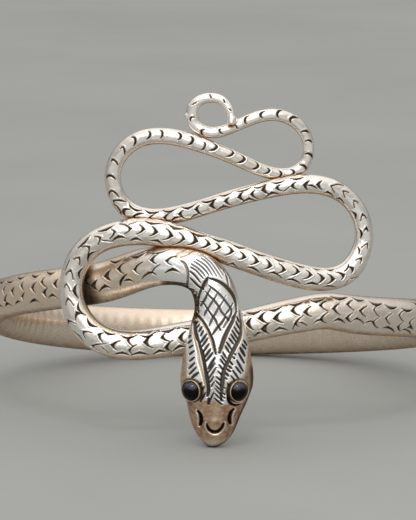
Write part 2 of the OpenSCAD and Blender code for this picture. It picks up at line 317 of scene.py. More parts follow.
# Marks on the lengths in front, each read off the photo. A row is a length of the rod, from and to
# in millimetres along it, and its marks. A mark is one arm's end, the apex and the other arm's end, each as
# x and y in the photo's pixels, and its thickness at the apex, towards the middle between the ends
CHARTED = [
    # Neck
    (24, 50, [
        (124.5, 262, 116.8, 268.5, 124, 273.5, 3), (142.5, 261.5, 133.5, 269.5, 139.5, 274, 3),
        (158, 254, 150, 260, 156.5, 264, 3), (176.5, 256, 165, 261, 171, 265.5, 3),
        (110.5, 270, 103.8, 276.5, 111, 281, 4), (126.5, 274, 119.5, 281.5, 120.5, 286.5, 3.5),
        (160, 264.5, 151.5, 272, 157, 275.5, 2), (99, 292, 104.5, 285, 111, 288.5, 2.2),
        (123.5, 281.5, 129, 279, 134.5, 282.8, 1.8), (142, 279.5, 149, 272.2, 156, 274, 1.8),
        (165, 273.5, 173, 268.5, 180, 273.5, 1.6), (110.5, 260.5, 115.5, 263.3, 125, 257, 1.7),
        (130.5, 256, 137, 258, 147, 251, 2), (151, 252, 157, 253.5, 170, 249, 1.8),
        (97, 280, 91.5, 286, 97, 290, 4),
    ]),
    # Band, left
    (38, 90, [
        (57.5, 279, 53, 284, 57, 288, 3), (44.5, 277, 40, 282, 47, 288, 2.5),
        (47, 288.5, 42.3, 293, 47, 297.5, 2.5), (35.5, 282.5, 30.3, 288, 35, 293.5, 2.2),
        (23, 281.5, 20, 285.5, 23.5, 290, 2), (24, 292.5, 20.8, 296.5, 23.5, 300.5, 2),
        (14, 287, 10.5, 291.5, 14, 297, 2), (5, 286, 2.5, 290, 4.5, 295, 1.8),
        (48, 298, 52, 294, 57.5, 299, 1.8), (30, 303, 34.5, 298.8, 40, 303, 2.3),
        (15, 304, 17.5, 300.5, 20, 302, 2.2), (46.5, 271.5, 50.5, 275.3, 57.5, 270.5, 2),
        (31.5, 274.5, 35, 278, 40, 274.5, 2), (17.5, 277, 20.5, 279.3, 26, 276, 2),
        (6.5, 281, 10, 282.5, 14, 280, 1.8),
    ]),
    # Band, right
    (160, 228, [
        (265.5, 311.5, 258, 318.5, 268, 323.5, 3.5), (281.5, 311.5, 273.5, 318.5, 283.5, 323, 4),
        (296, 306, 291, 311, 299.5, 315.5, 3.5), (311.5, 306.5, 304, 312.5, 312.5, 317.5, 3.5),
        (327, 300.5, 319.5, 305.5, 328.5, 311.5, 3), (340.5, 303, 332.8, 308.5, 341, 315.5, 3.5),
        (353, 300.5, 347, 304.5, 355, 311, 3), (367.5, 306.5, 359.8, 311, 366.5, 317.5, 3),
        (377.5, 306, 373.7, 310, 380, 317.5, 2.2), (392.5, 313, 385.5, 318, 390.5, 324, 2.5),
        (404, 310.5, 399, 315, 404, 321.5, 2), (415, 318, 409, 322.5, 412.5, 328, 2.2),
        (270, 322.5, 261, 329, 269.5, 334, 4.5), (251, 318, 246.3, 324, 253.5, 330.5, 2.5),
        (303, 315.5, 294, 323.5, 299, 327, 3.5), (296, 322.5, 294.5, 325, 292.5, 329.5, 2),
        (329, 312.5, 320, 319.5, 326.5, 323.5, 3.5), (353.5, 313, 346, 318.5, 351.5, 322.5, 3.5),
        (380, 317.5, 372.3, 322.5, 378, 328.5, 2.5), (403.5, 322.5, 397, 327, 400.5, 331.5, 2.8),
        (253.5, 337, 257.5, 332.5, 263, 333, 2.5), (273.5, 332, 280, 327, 289, 330.5, 2),
        (299.5, 323.5, 302.5, 322.8, 307, 326, 2), (314, 324, 318.5, 319.5, 323, 320.5, 2),
        (332, 323, 338.5, 318, 345, 323.5, 1.8), (351.5, 322.5, 357.5, 317.8, 364.5, 324.5, 1.8),
        (364.5, 324, 368.5, 321.8, 374, 321.8, 1.8), (381.5, 329, 388.5, 326.7, 394.5, 332.5, 1.8),
        (399.5, 331.5, 404.5, 329, 411, 334.5, 1.8), (246, 312.5, 253.5, 315, 262, 309.5, 1.8),
        (268.5, 309.5, 275, 311.5, 283.5, 305, 2), (288.5, 303.5, 296, 305.8, 304.5, 300.5, 1.9),
        (309, 299, 316, 302.3, 325.5, 297.5, 1.8), (331, 296.5, 339.5, 300.5, 347.5, 297, 1.8),
        (350.5, 296.5, 358, 301.5, 364.5, 300, 1.8), (369.5, 301.5, 376, 306, 382.5, 303.5, 1.6),
        (385.5, 305, 391.5, 309.5, 397.5, 307, 1.6), (402, 308.5, 407, 312.3, 413, 309.5, 1.6),
    ]),
    # Bottom of the left low fold
    (222, 256, [
        (186, 331.5, 178.7, 338, 185.5, 343, 3), (165, 333.5, 161, 338, 169.5, 341.5, 3),
        (156.5, 331.5, 144, 342.5, 153.5, 348.5, 4), (133, 336.5, 127, 340.5, 134, 347, 2),
        (120.5, 340.5, 110.7, 345, 117, 350.5, 3.2), (103.5, 332.5, 98, 334, 103, 342.5, 3.2),
        (173, 340.5, 164.5, 348, 172.5, 352, 3.5), (137, 345, 128.5, 350.5, 133, 355, 2.5),
        (106, 343.5, 90.5, 345.2, 100.5, 351.5, 7.5), (101, 347, 104, 349.5, 108.5, 353.5, 7.2),
        (113, 354.5, 122.5, 351.7, 130, 355.5, 1.8), (131.5, 356, 140, 352, 149.5, 355.5, 1.8),
        (152, 355.5, 159, 350, 166, 352.5, 2.5), (172.5, 352, 179, 345.5, 186, 347, 2.3),
        (181, 327, 188, 329.5, 192, 327, 2), (160.5, 331, 168.5, 332.8, 176, 327, 1.8),
        (141, 335, 147.5, 337.5, 153, 334.5, 1.5), (121, 335, 128, 339, 137, 334.5, 1.6),
        (103.5, 329.5, 108.5, 335, 115.5, 333.5, 1.7),
    ]),
    # Left low fold
    (240, 276, [
        (65.5, 306, 68, 298, 74, 306, 3), (64, 288, 66.5, 283.5, 70.5, 292, 3),
        (65, 275.5, 70.5, 270, 73, 280, 3), (73, 259.5, 79.5, 257, 79.5, 265.5, 2.5),
        (81.5, 247.5, 89.5, 247, 88, 255, 2), (93.5, 237, 100.5, 237.5, 97.5, 245, 2.5),
        (111, 229.5, 115.5, 231.5, 109.5, 239, 3.5), (75, 320.5, 76, 312, 82, 314, 3),
        (85, 338.5, 82.5, 331, 92, 332.5, 3), (71.5, 329.5, 79, 335, 85, 344, 2),
        (69.5, 329, 67, 319.2, 76, 324, 4.5), (69.5, 258, 67.5, 264, 64, 271, 2.3),
        (77, 248.5, 84.5, 243.5, 89.5, 235.5, 1.5), (97, 231.5, 106, 230.5, 114, 224.5, 1.5),
        (128.5, 224, 133.5, 223, 138, 220.8, 1.2), (87.5, 318.5, 90, 325.8, 98, 326.7, 2),
        (79, 302.5, 77.5, 309.5, 86, 315, 2), (77.5, 284.5, 73.2, 291, 79, 298.5, 2),
        (85, 267, 77.8, 272.5, 80, 279, 1.7), (98.5, 251.5, 88, 254.5, 88.2, 262.5, 1.7),
        (101.5, 240.5, 107, 241.5, 113, 241.8, 1.5), (112.5, 241.5, 118.5, 235.8, 126.5, 239, 1.7),
        (129.5, 241.5, 136, 237.6, 143.5, 242, 2),
    ]),
    # Second run
    (262, 306, [
        (119, 223.5, 131.5, 228.5, 124, 234.5, 3.3), (139, 224.5, 145, 229.5, 136, 234.7, 3.3),
        (151.5, 226.5, 157.5, 232.5, 149, 236.5, 3), (166, 228, 173, 236, 162.5, 240, 3),
        (179, 232, 185, 239, 172, 245, 3), (191, 232, 198, 241.5, 187, 245, 3.5),
        (205, 239, 210, 244.5, 199, 248.5, 3.5), (216, 243, 221, 247.5, 212, 251.5, 3),
        (228, 246, 233.5, 251.5, 224, 255.5, 3.2), (240, 251, 246, 257, 238, 259.5, 3),
        (252.5, 255, 259, 262, 250.5, 265, 3.3), (266, 259, 272, 266, 263.5, 269.5, 3),
        (279.5, 263.5, 286, 270, 277, 273.5, 3), (293, 266, 299.5, 272, 290.5, 275.5, 3),
        (306.5, 270, 312.5, 275.5, 303, 279.5, 3.2), (317.5, 273, 325, 278.5, 317, 284, 3),
        (328, 273.5, 335, 279, 327, 284, 3), (336, 272, 345, 275, 341.5, 280.5, 3),
        (349, 267, 354, 268, 352, 273.5, 3), (144.5, 220.5, 151, 224.5, 162.5, 223, 1.8),
        (167.5, 223.5, 173.5, 229.3, 184, 228.5, 1.8), (190.5, 231.5, 198, 236.7, 207.5, 235.5, 1.8),
        (211, 237, 218, 242, 225, 240.5, 1.8), (232, 243.5, 239, 248.3, 246.5, 247.5, 1.7),
        (252, 250.5, 258, 255, 266, 255.3, 1.7), (272.5, 256.5, 278.5, 261, 285.5, 261, 1.5),
        (294, 262.5, 299, 267, 304, 267, 1.6), (311, 266.5, 316, 270, 320.5, 269.5, 1.5),
        (325, 268.8, 330, 271, 333.5, 269, 1.5), (149.5, 241.5, 157.5, 240, 163.5, 245.5, 1.8),
        (224.5, 265, 232.5, 262.8, 239, 269.5, 1.8), (246.5, 267.5, 253, 267, 260, 273, 1.8),
        (266.5, 274.5, 274, 272, 282, 279, 1.7), (285, 280.5, 292, 278.2, 300.5, 284, 1.7),
        (304, 285, 311.5, 282.3, 318.5, 285.5, 1.6), (323, 287.5, 328.5, 285.3, 336, 287.5, 1.5),
    ]),
    # Right low fold
    (296, 324, [
        (344.5, 285.5, 347, 281.5, 350, 279, 1.5), (350.5, 278.5, 355.5, 277.8, 360, 275, 1.8),
        (348, 264.5, 348.5, 267.5, 344.5, 271.5, 2), (357.5, 247.5, 359.5, 250.5, 358.5, 254.5, 2),
        (358.5, 228.5, 362.5, 233.5, 360, 238.5, 2), (350.5, 211, 356.5, 214.5, 355.5, 219.5, 2.2),
        (336, 199.5, 339.5, 197.8, 344.5, 204, 2.5), (323.5, 193.5, 327.5, 191.5, 333.5, 197, 2.2),
        (355.5, 260.3, 362, 258, 360.5, 264, 2.5), (361, 248, 367.5, 243, 367.5, 248.5, 3),
        (364, 231.5, 366.5, 227, 368.5, 231.5, 3), (360.5, 221.5, 362.5, 214, 367, 219, 3),
        (354.5, 208.5, 354, 200.5, 359, 203.5, 2.5), (345, 198, 342.8, 191, 349, 193, 2.2),
        (335, 193, 331, 185.5, 344, 185.5, 2),
    ]),
    # Third run
    (312, 350, [
        (322, 181, 316.5, 184.5, 322, 190, 3), (310, 180.5, 303.5, 185, 308, 190, 3),
        (296, 182.5, 291, 186.5, 298, 190, 2.8), (280.5, 185, 275.8, 188.5, 283, 191.5, 3),
        (266, 184.5, 261.5, 190.5, 269, 194, 3), (254.5, 190.5, 250.5, 194.5, 258.5, 199, 3),
        (243, 191.5, 238, 197.5, 247, 201, 3.3), (229, 197.5, 224, 201.5, 232.5, 205.5, 3),
        (216, 198.5, 209, 206, 218, 209.5, 3.5), (199.5, 205, 195, 209.5, 205, 215, 3),
        (183.5, 210.5, 178.7, 214.5, 188.5, 219.5, 3), (172, 211.5, 163.5, 217.5, 169, 222, 3),
        (159, 211.5, 149, 217.8, 153, 219.5, 2.2), (144, 213.5, 133.5, 217, 139, 219.5, 2.8),
        (130, 209.5, 123, 209.5, 126, 217, 3.5), (126.5, 202, 113, 200.5, 116, 205.5, 3.5),
        (113, 204.5, 119, 208.5, 121, 216, 1.5), (109, 196.5, 111.5, 190.2, 119, 197.5, 2.8),
        (290.5, 178, 297, 179.8, 304, 177, 1.4), (271.5, 182, 277, 183.5, 285, 180, 1.5),
        (254, 187.3, 258, 188.7, 266.5, 184, 1.3), (236.5, 191, 242, 191.8, 251, 187.3, 1.5),
        (219.5, 195.2, 225, 196.2, 232.5, 191.5, 1.4), (201.5, 201, 207, 202.8, 216, 198.5, 1.8),
        (181, 206.5, 188, 209.3, 196, 203, 1.7), (162.5, 210, 168.5, 213, 177.5, 208, 1.6),
        (145.5, 210, 150, 214, 158.5, 211.5, 1.4), (129.8, 203.5, 132.5, 209, 142.5, 210.3, 1.4),
        (308, 186, 312.5, 185, 317.5, 189, 1.5), (284, 191.8, 287, 190, 290, 186.5, 1.5),
        (264, 198.5, 271.5, 192, 280, 194.5, 2), (240.5, 204, 249, 198, 257.5, 201.5, 1.8),
        (216.5, 211, 224, 205.5, 233.5, 208, 1.8), (191, 218.5, 194.5, 214.5, 200, 213.5, 3),
        (171.5, 221.5, 175, 217.5, 181.5, 217.5, 3.5),
    ]),
    # Left high fold and fourth run
    (334, 378, [
        (105.6, 179.3, 109.4, 175.1, 115.6, 179.9, 3), (110.4, 162, 112.9, 159, 118.1, 165.3, 3.3),
        (119.8, 148.9, 122.8, 146.8, 124.1, 155.1, 2.5), (130.6, 137, 135.4, 138.6, 133.1, 146.4, 2.5),
        (147.9, 130.9, 150.6, 133.9, 146, 139.6, 2.3), (159.8, 130.1, 162.9, 133.6, 160.3, 138.9, 2.8),
        (177.5, 132.4, 181, 136.1, 177.1, 140.5, 2.8), (190.6, 135.8, 193.8, 139.9, 187.3, 145.3, 2.8),
        (204.4, 141.5, 205.8, 146.1, 200.4, 150.5, 2.3), (213.8, 143, 217.8, 147, 208.5, 150.5, 2.8),
        (230.4, 149.6, 233.8, 153.3, 225.4, 156.9, 2.8), (241.3, 155.3, 245, 159.6, 235.8, 162.8, 2.8),
        (255.6, 161.8, 258.8, 166.4, 250.4, 169.3, 2.8), (266.9, 168, 270, 171.1, 262.8, 173.8, 2.8),
    ]),
    # Right high fold
    (370, 400, [
        (278.8, 169.9, 281.9, 174, 277.5, 177.1, 2.8), (290.6, 169.3, 295, 173.3, 291.3, 174.9, 2.3),
        (298.8, 164.6, 306.3, 166.8, 305.3, 172, 3), (304.8, 154.9, 309.4, 153.3, 312.5, 159.3, 2.5),
        (305, 142.6, 308.5, 140.5, 312.5, 143.6, 3), (300.6, 133.9, 304, 131.1, 310, 133.9, 3),
        (298.8, 118.4, 290, 118.4, 290.9, 123.4, 2.5), (283.1, 110.1, 276.6, 113.6, 278.8, 118.4, 2.5),
        (265, 111.4, 259.6, 114.5, 263.1, 118.9, 2.5), (248.8, 115.3, 244.6, 119.9, 247.5, 124.6, 2.5),
    ]),
    # Tail curl
    (392, 414, [
        (234.6, 122.6, 236.4, 126.1, 239, 128.6, 2), (221, 129.3, 218.8, 130.5, 223.1, 134.3, 2.5),
        (204.8, 129.9, 201, 131.1, 205, 136.5, 2.5), (190.9, 121.8, 190.6, 118, 195, 117.8, 4),
        (191.9, 104.9, 194, 104, 196.9, 102, 2), (208.5, 94.3, 210, 96.1, 210.5, 98.6, 2),
        (223.1, 99, 224.4, 100.5, 224.8, 102.4, 2), (228.5, 108.6, 229.8, 109.5, 231.3, 110.5, 1.5),
    ]),
]
# Where the two arms end, along and round the rod from the apex, and the thickness there
SCALE = (-1.2, 0.75, -1.2, -0.85, 0.27)
UPPER_EDGE = (1.0, 0.62, -1.35, 0.6, 0.22)
LOWER_EDGE = (0.8, -0.65, -1.1, -0.75, 0.22)


def evenly(start, end, count):
    return list(np.linspace(start, end, count + 1))


# Stamp, places along the rod and distances round it, for the lengths that lie further back
MARK_ROWS = [
    (SCALE, evenly(60.9, 195.5, 64), [0.7, 1.2]),
    (SCALE, evenly(58.7, 195.6, 33), [-0.65]),
    (UPPER_EDGE, evenly(60.0, 195.3, 48), [2.0]),
    (LOWER_EDGE, evenly(58.0, 197.0, 53), [-0.8]),
    (SCALE, [43.6, 45.6], [0.9, -0.5]),
    (SCALE, [225.2, 227.2, 229.2, 231.0], [1.1, 0.7]),
    (SCALE, [225.3, 229.2], [-0.7]),
    (UPPER_EDGE, [224.6, 227.6], [1.7]),
    (LOWER_EDGE, [224.2, 227.2, 230.3], [-0.8]),
]
SHIFT_ALONG, SHIFT_ROUND, SIZE_SPREAD = 0.12, 0.08, 0.08
MARK_REACH = 3.2  # along and round the rod, to each side of a mark
BULGE, ROUND_BULGE = 0.06, 0.18  # of a mark's arms, as shares of their length
KEEN_MARKS_END = 341.0  # beyond this place the marks are rounder
KEEN_APEX = 0.12  # straight share of a keen mark's arms
FILL, KEEN_FILLED, ROUND_FILLED = 2.1, 0.7, 0.42  # of the room between the arms, in thicknesses, and at most
STEEP, GENTLE = 0.09, 0.036  # widths of the stamp's sloping side
TIP_THICKNESS = 0.10
LIP_AT, LIP_WIDTH, LIP_HEIGHT = 0.19, 0.10, 0.05  # of the metal raised outside a mark
STAMP_DEPTH, FULL_THICKNESS = 0.2, 0.22  # a thinner mark is less deep
# Ramps of a mark's oxide and brown stain, in from its outer line and from its inner line
OXIDE_IN, OXIDE_OUT, PALER = (-0.08, -0.02), (-0.07, 0.02), (0.12, 0.4)
BROWN_IN, BROWN_OUT = (-0.02, 0.05), (-0.3, 0.0)
MARK_OXIDE, MARK_PALER, MARK_BROWN = 0.97, 0.22, 0.4


def mark_lines(arm_a, arm_b, thick, keen):
    """The way that a mark turns, its outer line from one arm's end past the apex, at 0, to the other's, and
    the inner line between them. A keen mark has a sharp apex, and one that isn't is a rounder crescent."""
    a, b = np.array(arm_a), np.array(arm_b)
    turn = np.sign(a[1] * b[0] - a[0] * b[1])
    bulge = (BULGE if keen else ROUND_BULGE) * turn
    bulge_a, bulge_b = bulge * np.array((-a[1], a[0])), bulge * np.array((b[1], -b[0]))
    at_apex = [KEEN_APEX * a, (0, 0), KEEN_APEX * b] if keen else [(0, 0)]
    outer = flowing([a, a / 2 + bulge_a, *at_apex, b / 2 + bulge_b, b])
    middle = (a + b) / 2
    filled = min(KEEN_FILLED if keen else ROUND_FILLED, FILL * thick / np.linalg.norm(middle))
    t = np.linspace(0, 1, 9)[:, None]
    inner = (1 - t) ** 2 * a + 2 * t * (1 - t) * (2 * filled - 1) * middle + t**2 * b
    return turn, outer, inner


def stamp_profile(turn, outer, inner, thick, u, v):
    """Height, darkness and brownness of a mark at places u and v."""
    signed, share = along_line(outer, u, v)
    inside = np.where((share <= 0) | (share >= 1), -np.abs(signed), signed * turn)
    arm_a, arm_b = np.linalg.norm(outer[0]), np.linalg.norm(outer[-1])
    apex = arm_a / (arm_a + arm_b)
    outward = np.where(share < apex, 1 - share / apex, (share - apex) / (1 - apex))
    room = np.maximum(-turn * along_line(inner, u, v)[0], TIP_THICKNESS * (1 - 0.5 * outward) - inside)
    cut = smooth(-STEEP, GENTLE, inside) * smooth(-STEEP, STEEP, room)
    lip = bell(inside + LIP_AT, LIP_WIDTH) * smooth(1, 0.8, outward)
    relief = LIP_HEIGHT * lip - STAMP_DEPTH * min(1, thick / FULL_THICKNESS) * cut
    black = MARK_OXIDE - MARK_PALER * smooth(*PALER, inside)
    dark = black * smooth(*OXIDE_IN, inside) * smooth(*OXIDE_OUT, room)
    brown = MARK_BROWN * smooth(*BROWN_IN, inside) * smooth(*BROWN_OUT, room)
    return relief, dark, brown


class Skin:
    """A length of the rod's surface as a grid, with its relief, its stains and its painted shade."""

    GHOSTS = 2  # extra rows at each end, so that normals match the next piece's

    def __init__(self, s, phi):
        step_in, step_out = s[1] - s[0], s[-1] - s[-2]
        before = s[0] - step_in * np.arange(self.GHOSTS, 0, -1)
        after = s[-1] + step_out * np.arange(1, self.GHOSTS + 1)
        self.s, self.phi = np.concatenate([before, s, after]), phi
        self.plain = rod.surface(self.s, phi)
        self.normals = grid_normals(self.plain)
        steps = np.linalg.norm(np.diff(self.plain, axis=1), axis=2)
        run = np.pad(np.cumsum(steps, axis=1), ((0, 0), (1, 0)))
        front = np.array([np.interp(math.pi / 2, phi, row) for row in run])
        self.across = front[:, None] - run  # length round the section from the line that faces outwards
        self.relief = np.zeros(self.plain.shape[:2])
        # darkness: oxide in the hollows, and painted shade
        self.oxide_and_shade = np.zeros_like(self.relief)
        self.warm = np.zeros_like(self.relief)
        self.polish = np.zeros_like(self.relief)

    def press(self, mark):
        place, across_at, ax, av, bx, bv, thick = mark
        rows = np.flatnonzero(np.abs(self.s - place) < MARK_REACH)
        if not len(rows):
            return
        nearest = rows[np.argmin(np.abs(self.s[rows] - place))]
        rows = slice(rows[0], rows[-1] + 1)
        heading = rod.frame_at(np.array([place]))[1][0]
        across, points = self.across[nearest, ::-1], self.plain[nearest, ::-1]
        at = [np.interp(across_at, across, points[:, k]) for k in range(3)]
        at += (place - self.s[nearest]) * heading
        u, v = (self.plain[rows] - at) @ heading, self.across[rows] - across_at
        near = (np.abs(u) < MARK_REACH) & (np.abs(v) < MARK_REACH)
        lines = mark_lines((ax, av), (bx, bv), thick, place < KEEN_MARKS_END)
        relief, dark, brown = stamp_profile(*lines, thick, u[near], v[near])
        self.relief[rows][near] += relief
        self.oxide_and_shade[rows][near] = np.maximum(self.oxide_and_shade[rows][near], dark)
        self.warm[rows][near] = np.maximum(self.warm[rows][near], brown)

    def mesh_parts(self):
        points = self.plain + self.normals * self.relief[..., None]
        keep = slice(self.GHOSTS, -self.GHOSTS)
        fields = {"oxide_and_shade": self.oxide_and_shade[keep], "warm": self.warm[keep], "polish": self.polish[keep]}
        return points[keep], grid_normals(points)[keep], fields


CHART_STEP, CHART_COLUMNS = 0.05, np.radians(np.arange(-20, 340))
ARM_REACH = 4.0  # along the rod, from an apex to its arms' ends
EDGE_ON, HIDDEN = 0.06, 30.0  # what faces the camera less than the first counts as these pixels further off
INNER_SIDE = math.radians(200.5)  # past this angle the surface faces the wrist and counts as hidden too
LEAST_THICKNESS = 0.12


class ChartedLength:
    """A length of the rod as the photo shows it, which turns what was read there into marks."""

    def __init__(self, start, end):
        self.skin = Skin(np.arange(start, min(end, rod.length), CHART_STEP), CHART_COLUMNS)
        self.pixels = in_photo(self.skin.plain)
        facing = (self.skin.normals * unit(CAMERA_PLACE - self.skin.plain)).sum(2)
        self.further = HIDDEN * ((facing < EDGE_ON) | (CHART_COLUMNS > INNER_SIDE))

    def nearest(self, pixel, first=0, last=None):
        """Row and column of the surface that shows at a pixel, out of the rows from first to last."""
        gaps = np.linalg.norm(self.pixels[first:last] - pixel, axis=2) + self.further[first:last]
        row, column = np.unravel_index(gaps.argmin(), gaps.shape)
        return first + row, column

    def mark(self, ax, ay, x, y, bx, by, thickness):
        """Place, distance round, both arms and thickness of a mark, as Skin.press takes them."""
        plain, across = self.skin.plain, self.skin.across
        apex, ends = np.array((x, y)), np.array([(ax, ay), (bx, by)])
        at = self.nearest(apex)
        place = self.skin.s[at[0]]
        heading = rod.frame_at(np.array([place]))[1][0]
        rows = round(ARM_REACH / CHART_STEP)

        def from_apex(pixel):
            spot = self.nearest(pixel, max(0, at[0] - rows), at[0] + rows + 1)
            return np.array([(plain[spot] - plain[at]) @ heading, across[spot] - across[at]])

        arms = [from_apex(end) for end in ends]
        inner = from_apex(apex + thickness * unit(ends.mean(0) - apex))
        gap = min(np.linalg.norm(inner - arm * np.clip(inner @ arm / (arm @ arm), 0, 1)) for arm in arms)
        apex_place = (round(float(value), 1) for value in (place, across[at]))  # to a tenth of a millimetre
        return *apex_place, *arms[0], *arms[1], max(LEAST_THICKNESS, gap)


def all_marks():
    """Every mark, those of the rows with the small unevenness of hand work."""
    marks = []
    for start, end, readings in CHARTED:
        length = ChartedLength(start, end)
        marks += [length.mark(*reading) for reading in readings]
    for stamp, places, offsets in MARK_ROWS:
        for i, place in enumerate(places):
            along, across, scale = rng.normal(0, (SHIFT_ALONG, SHIFT_ROUND, SIZE_SPREAD))
            sizes = (x * (1 + scale) for x in stamp)
            marks.append((place + along, offsets[i % len(offsets)] + across, *sizes))
    return marks
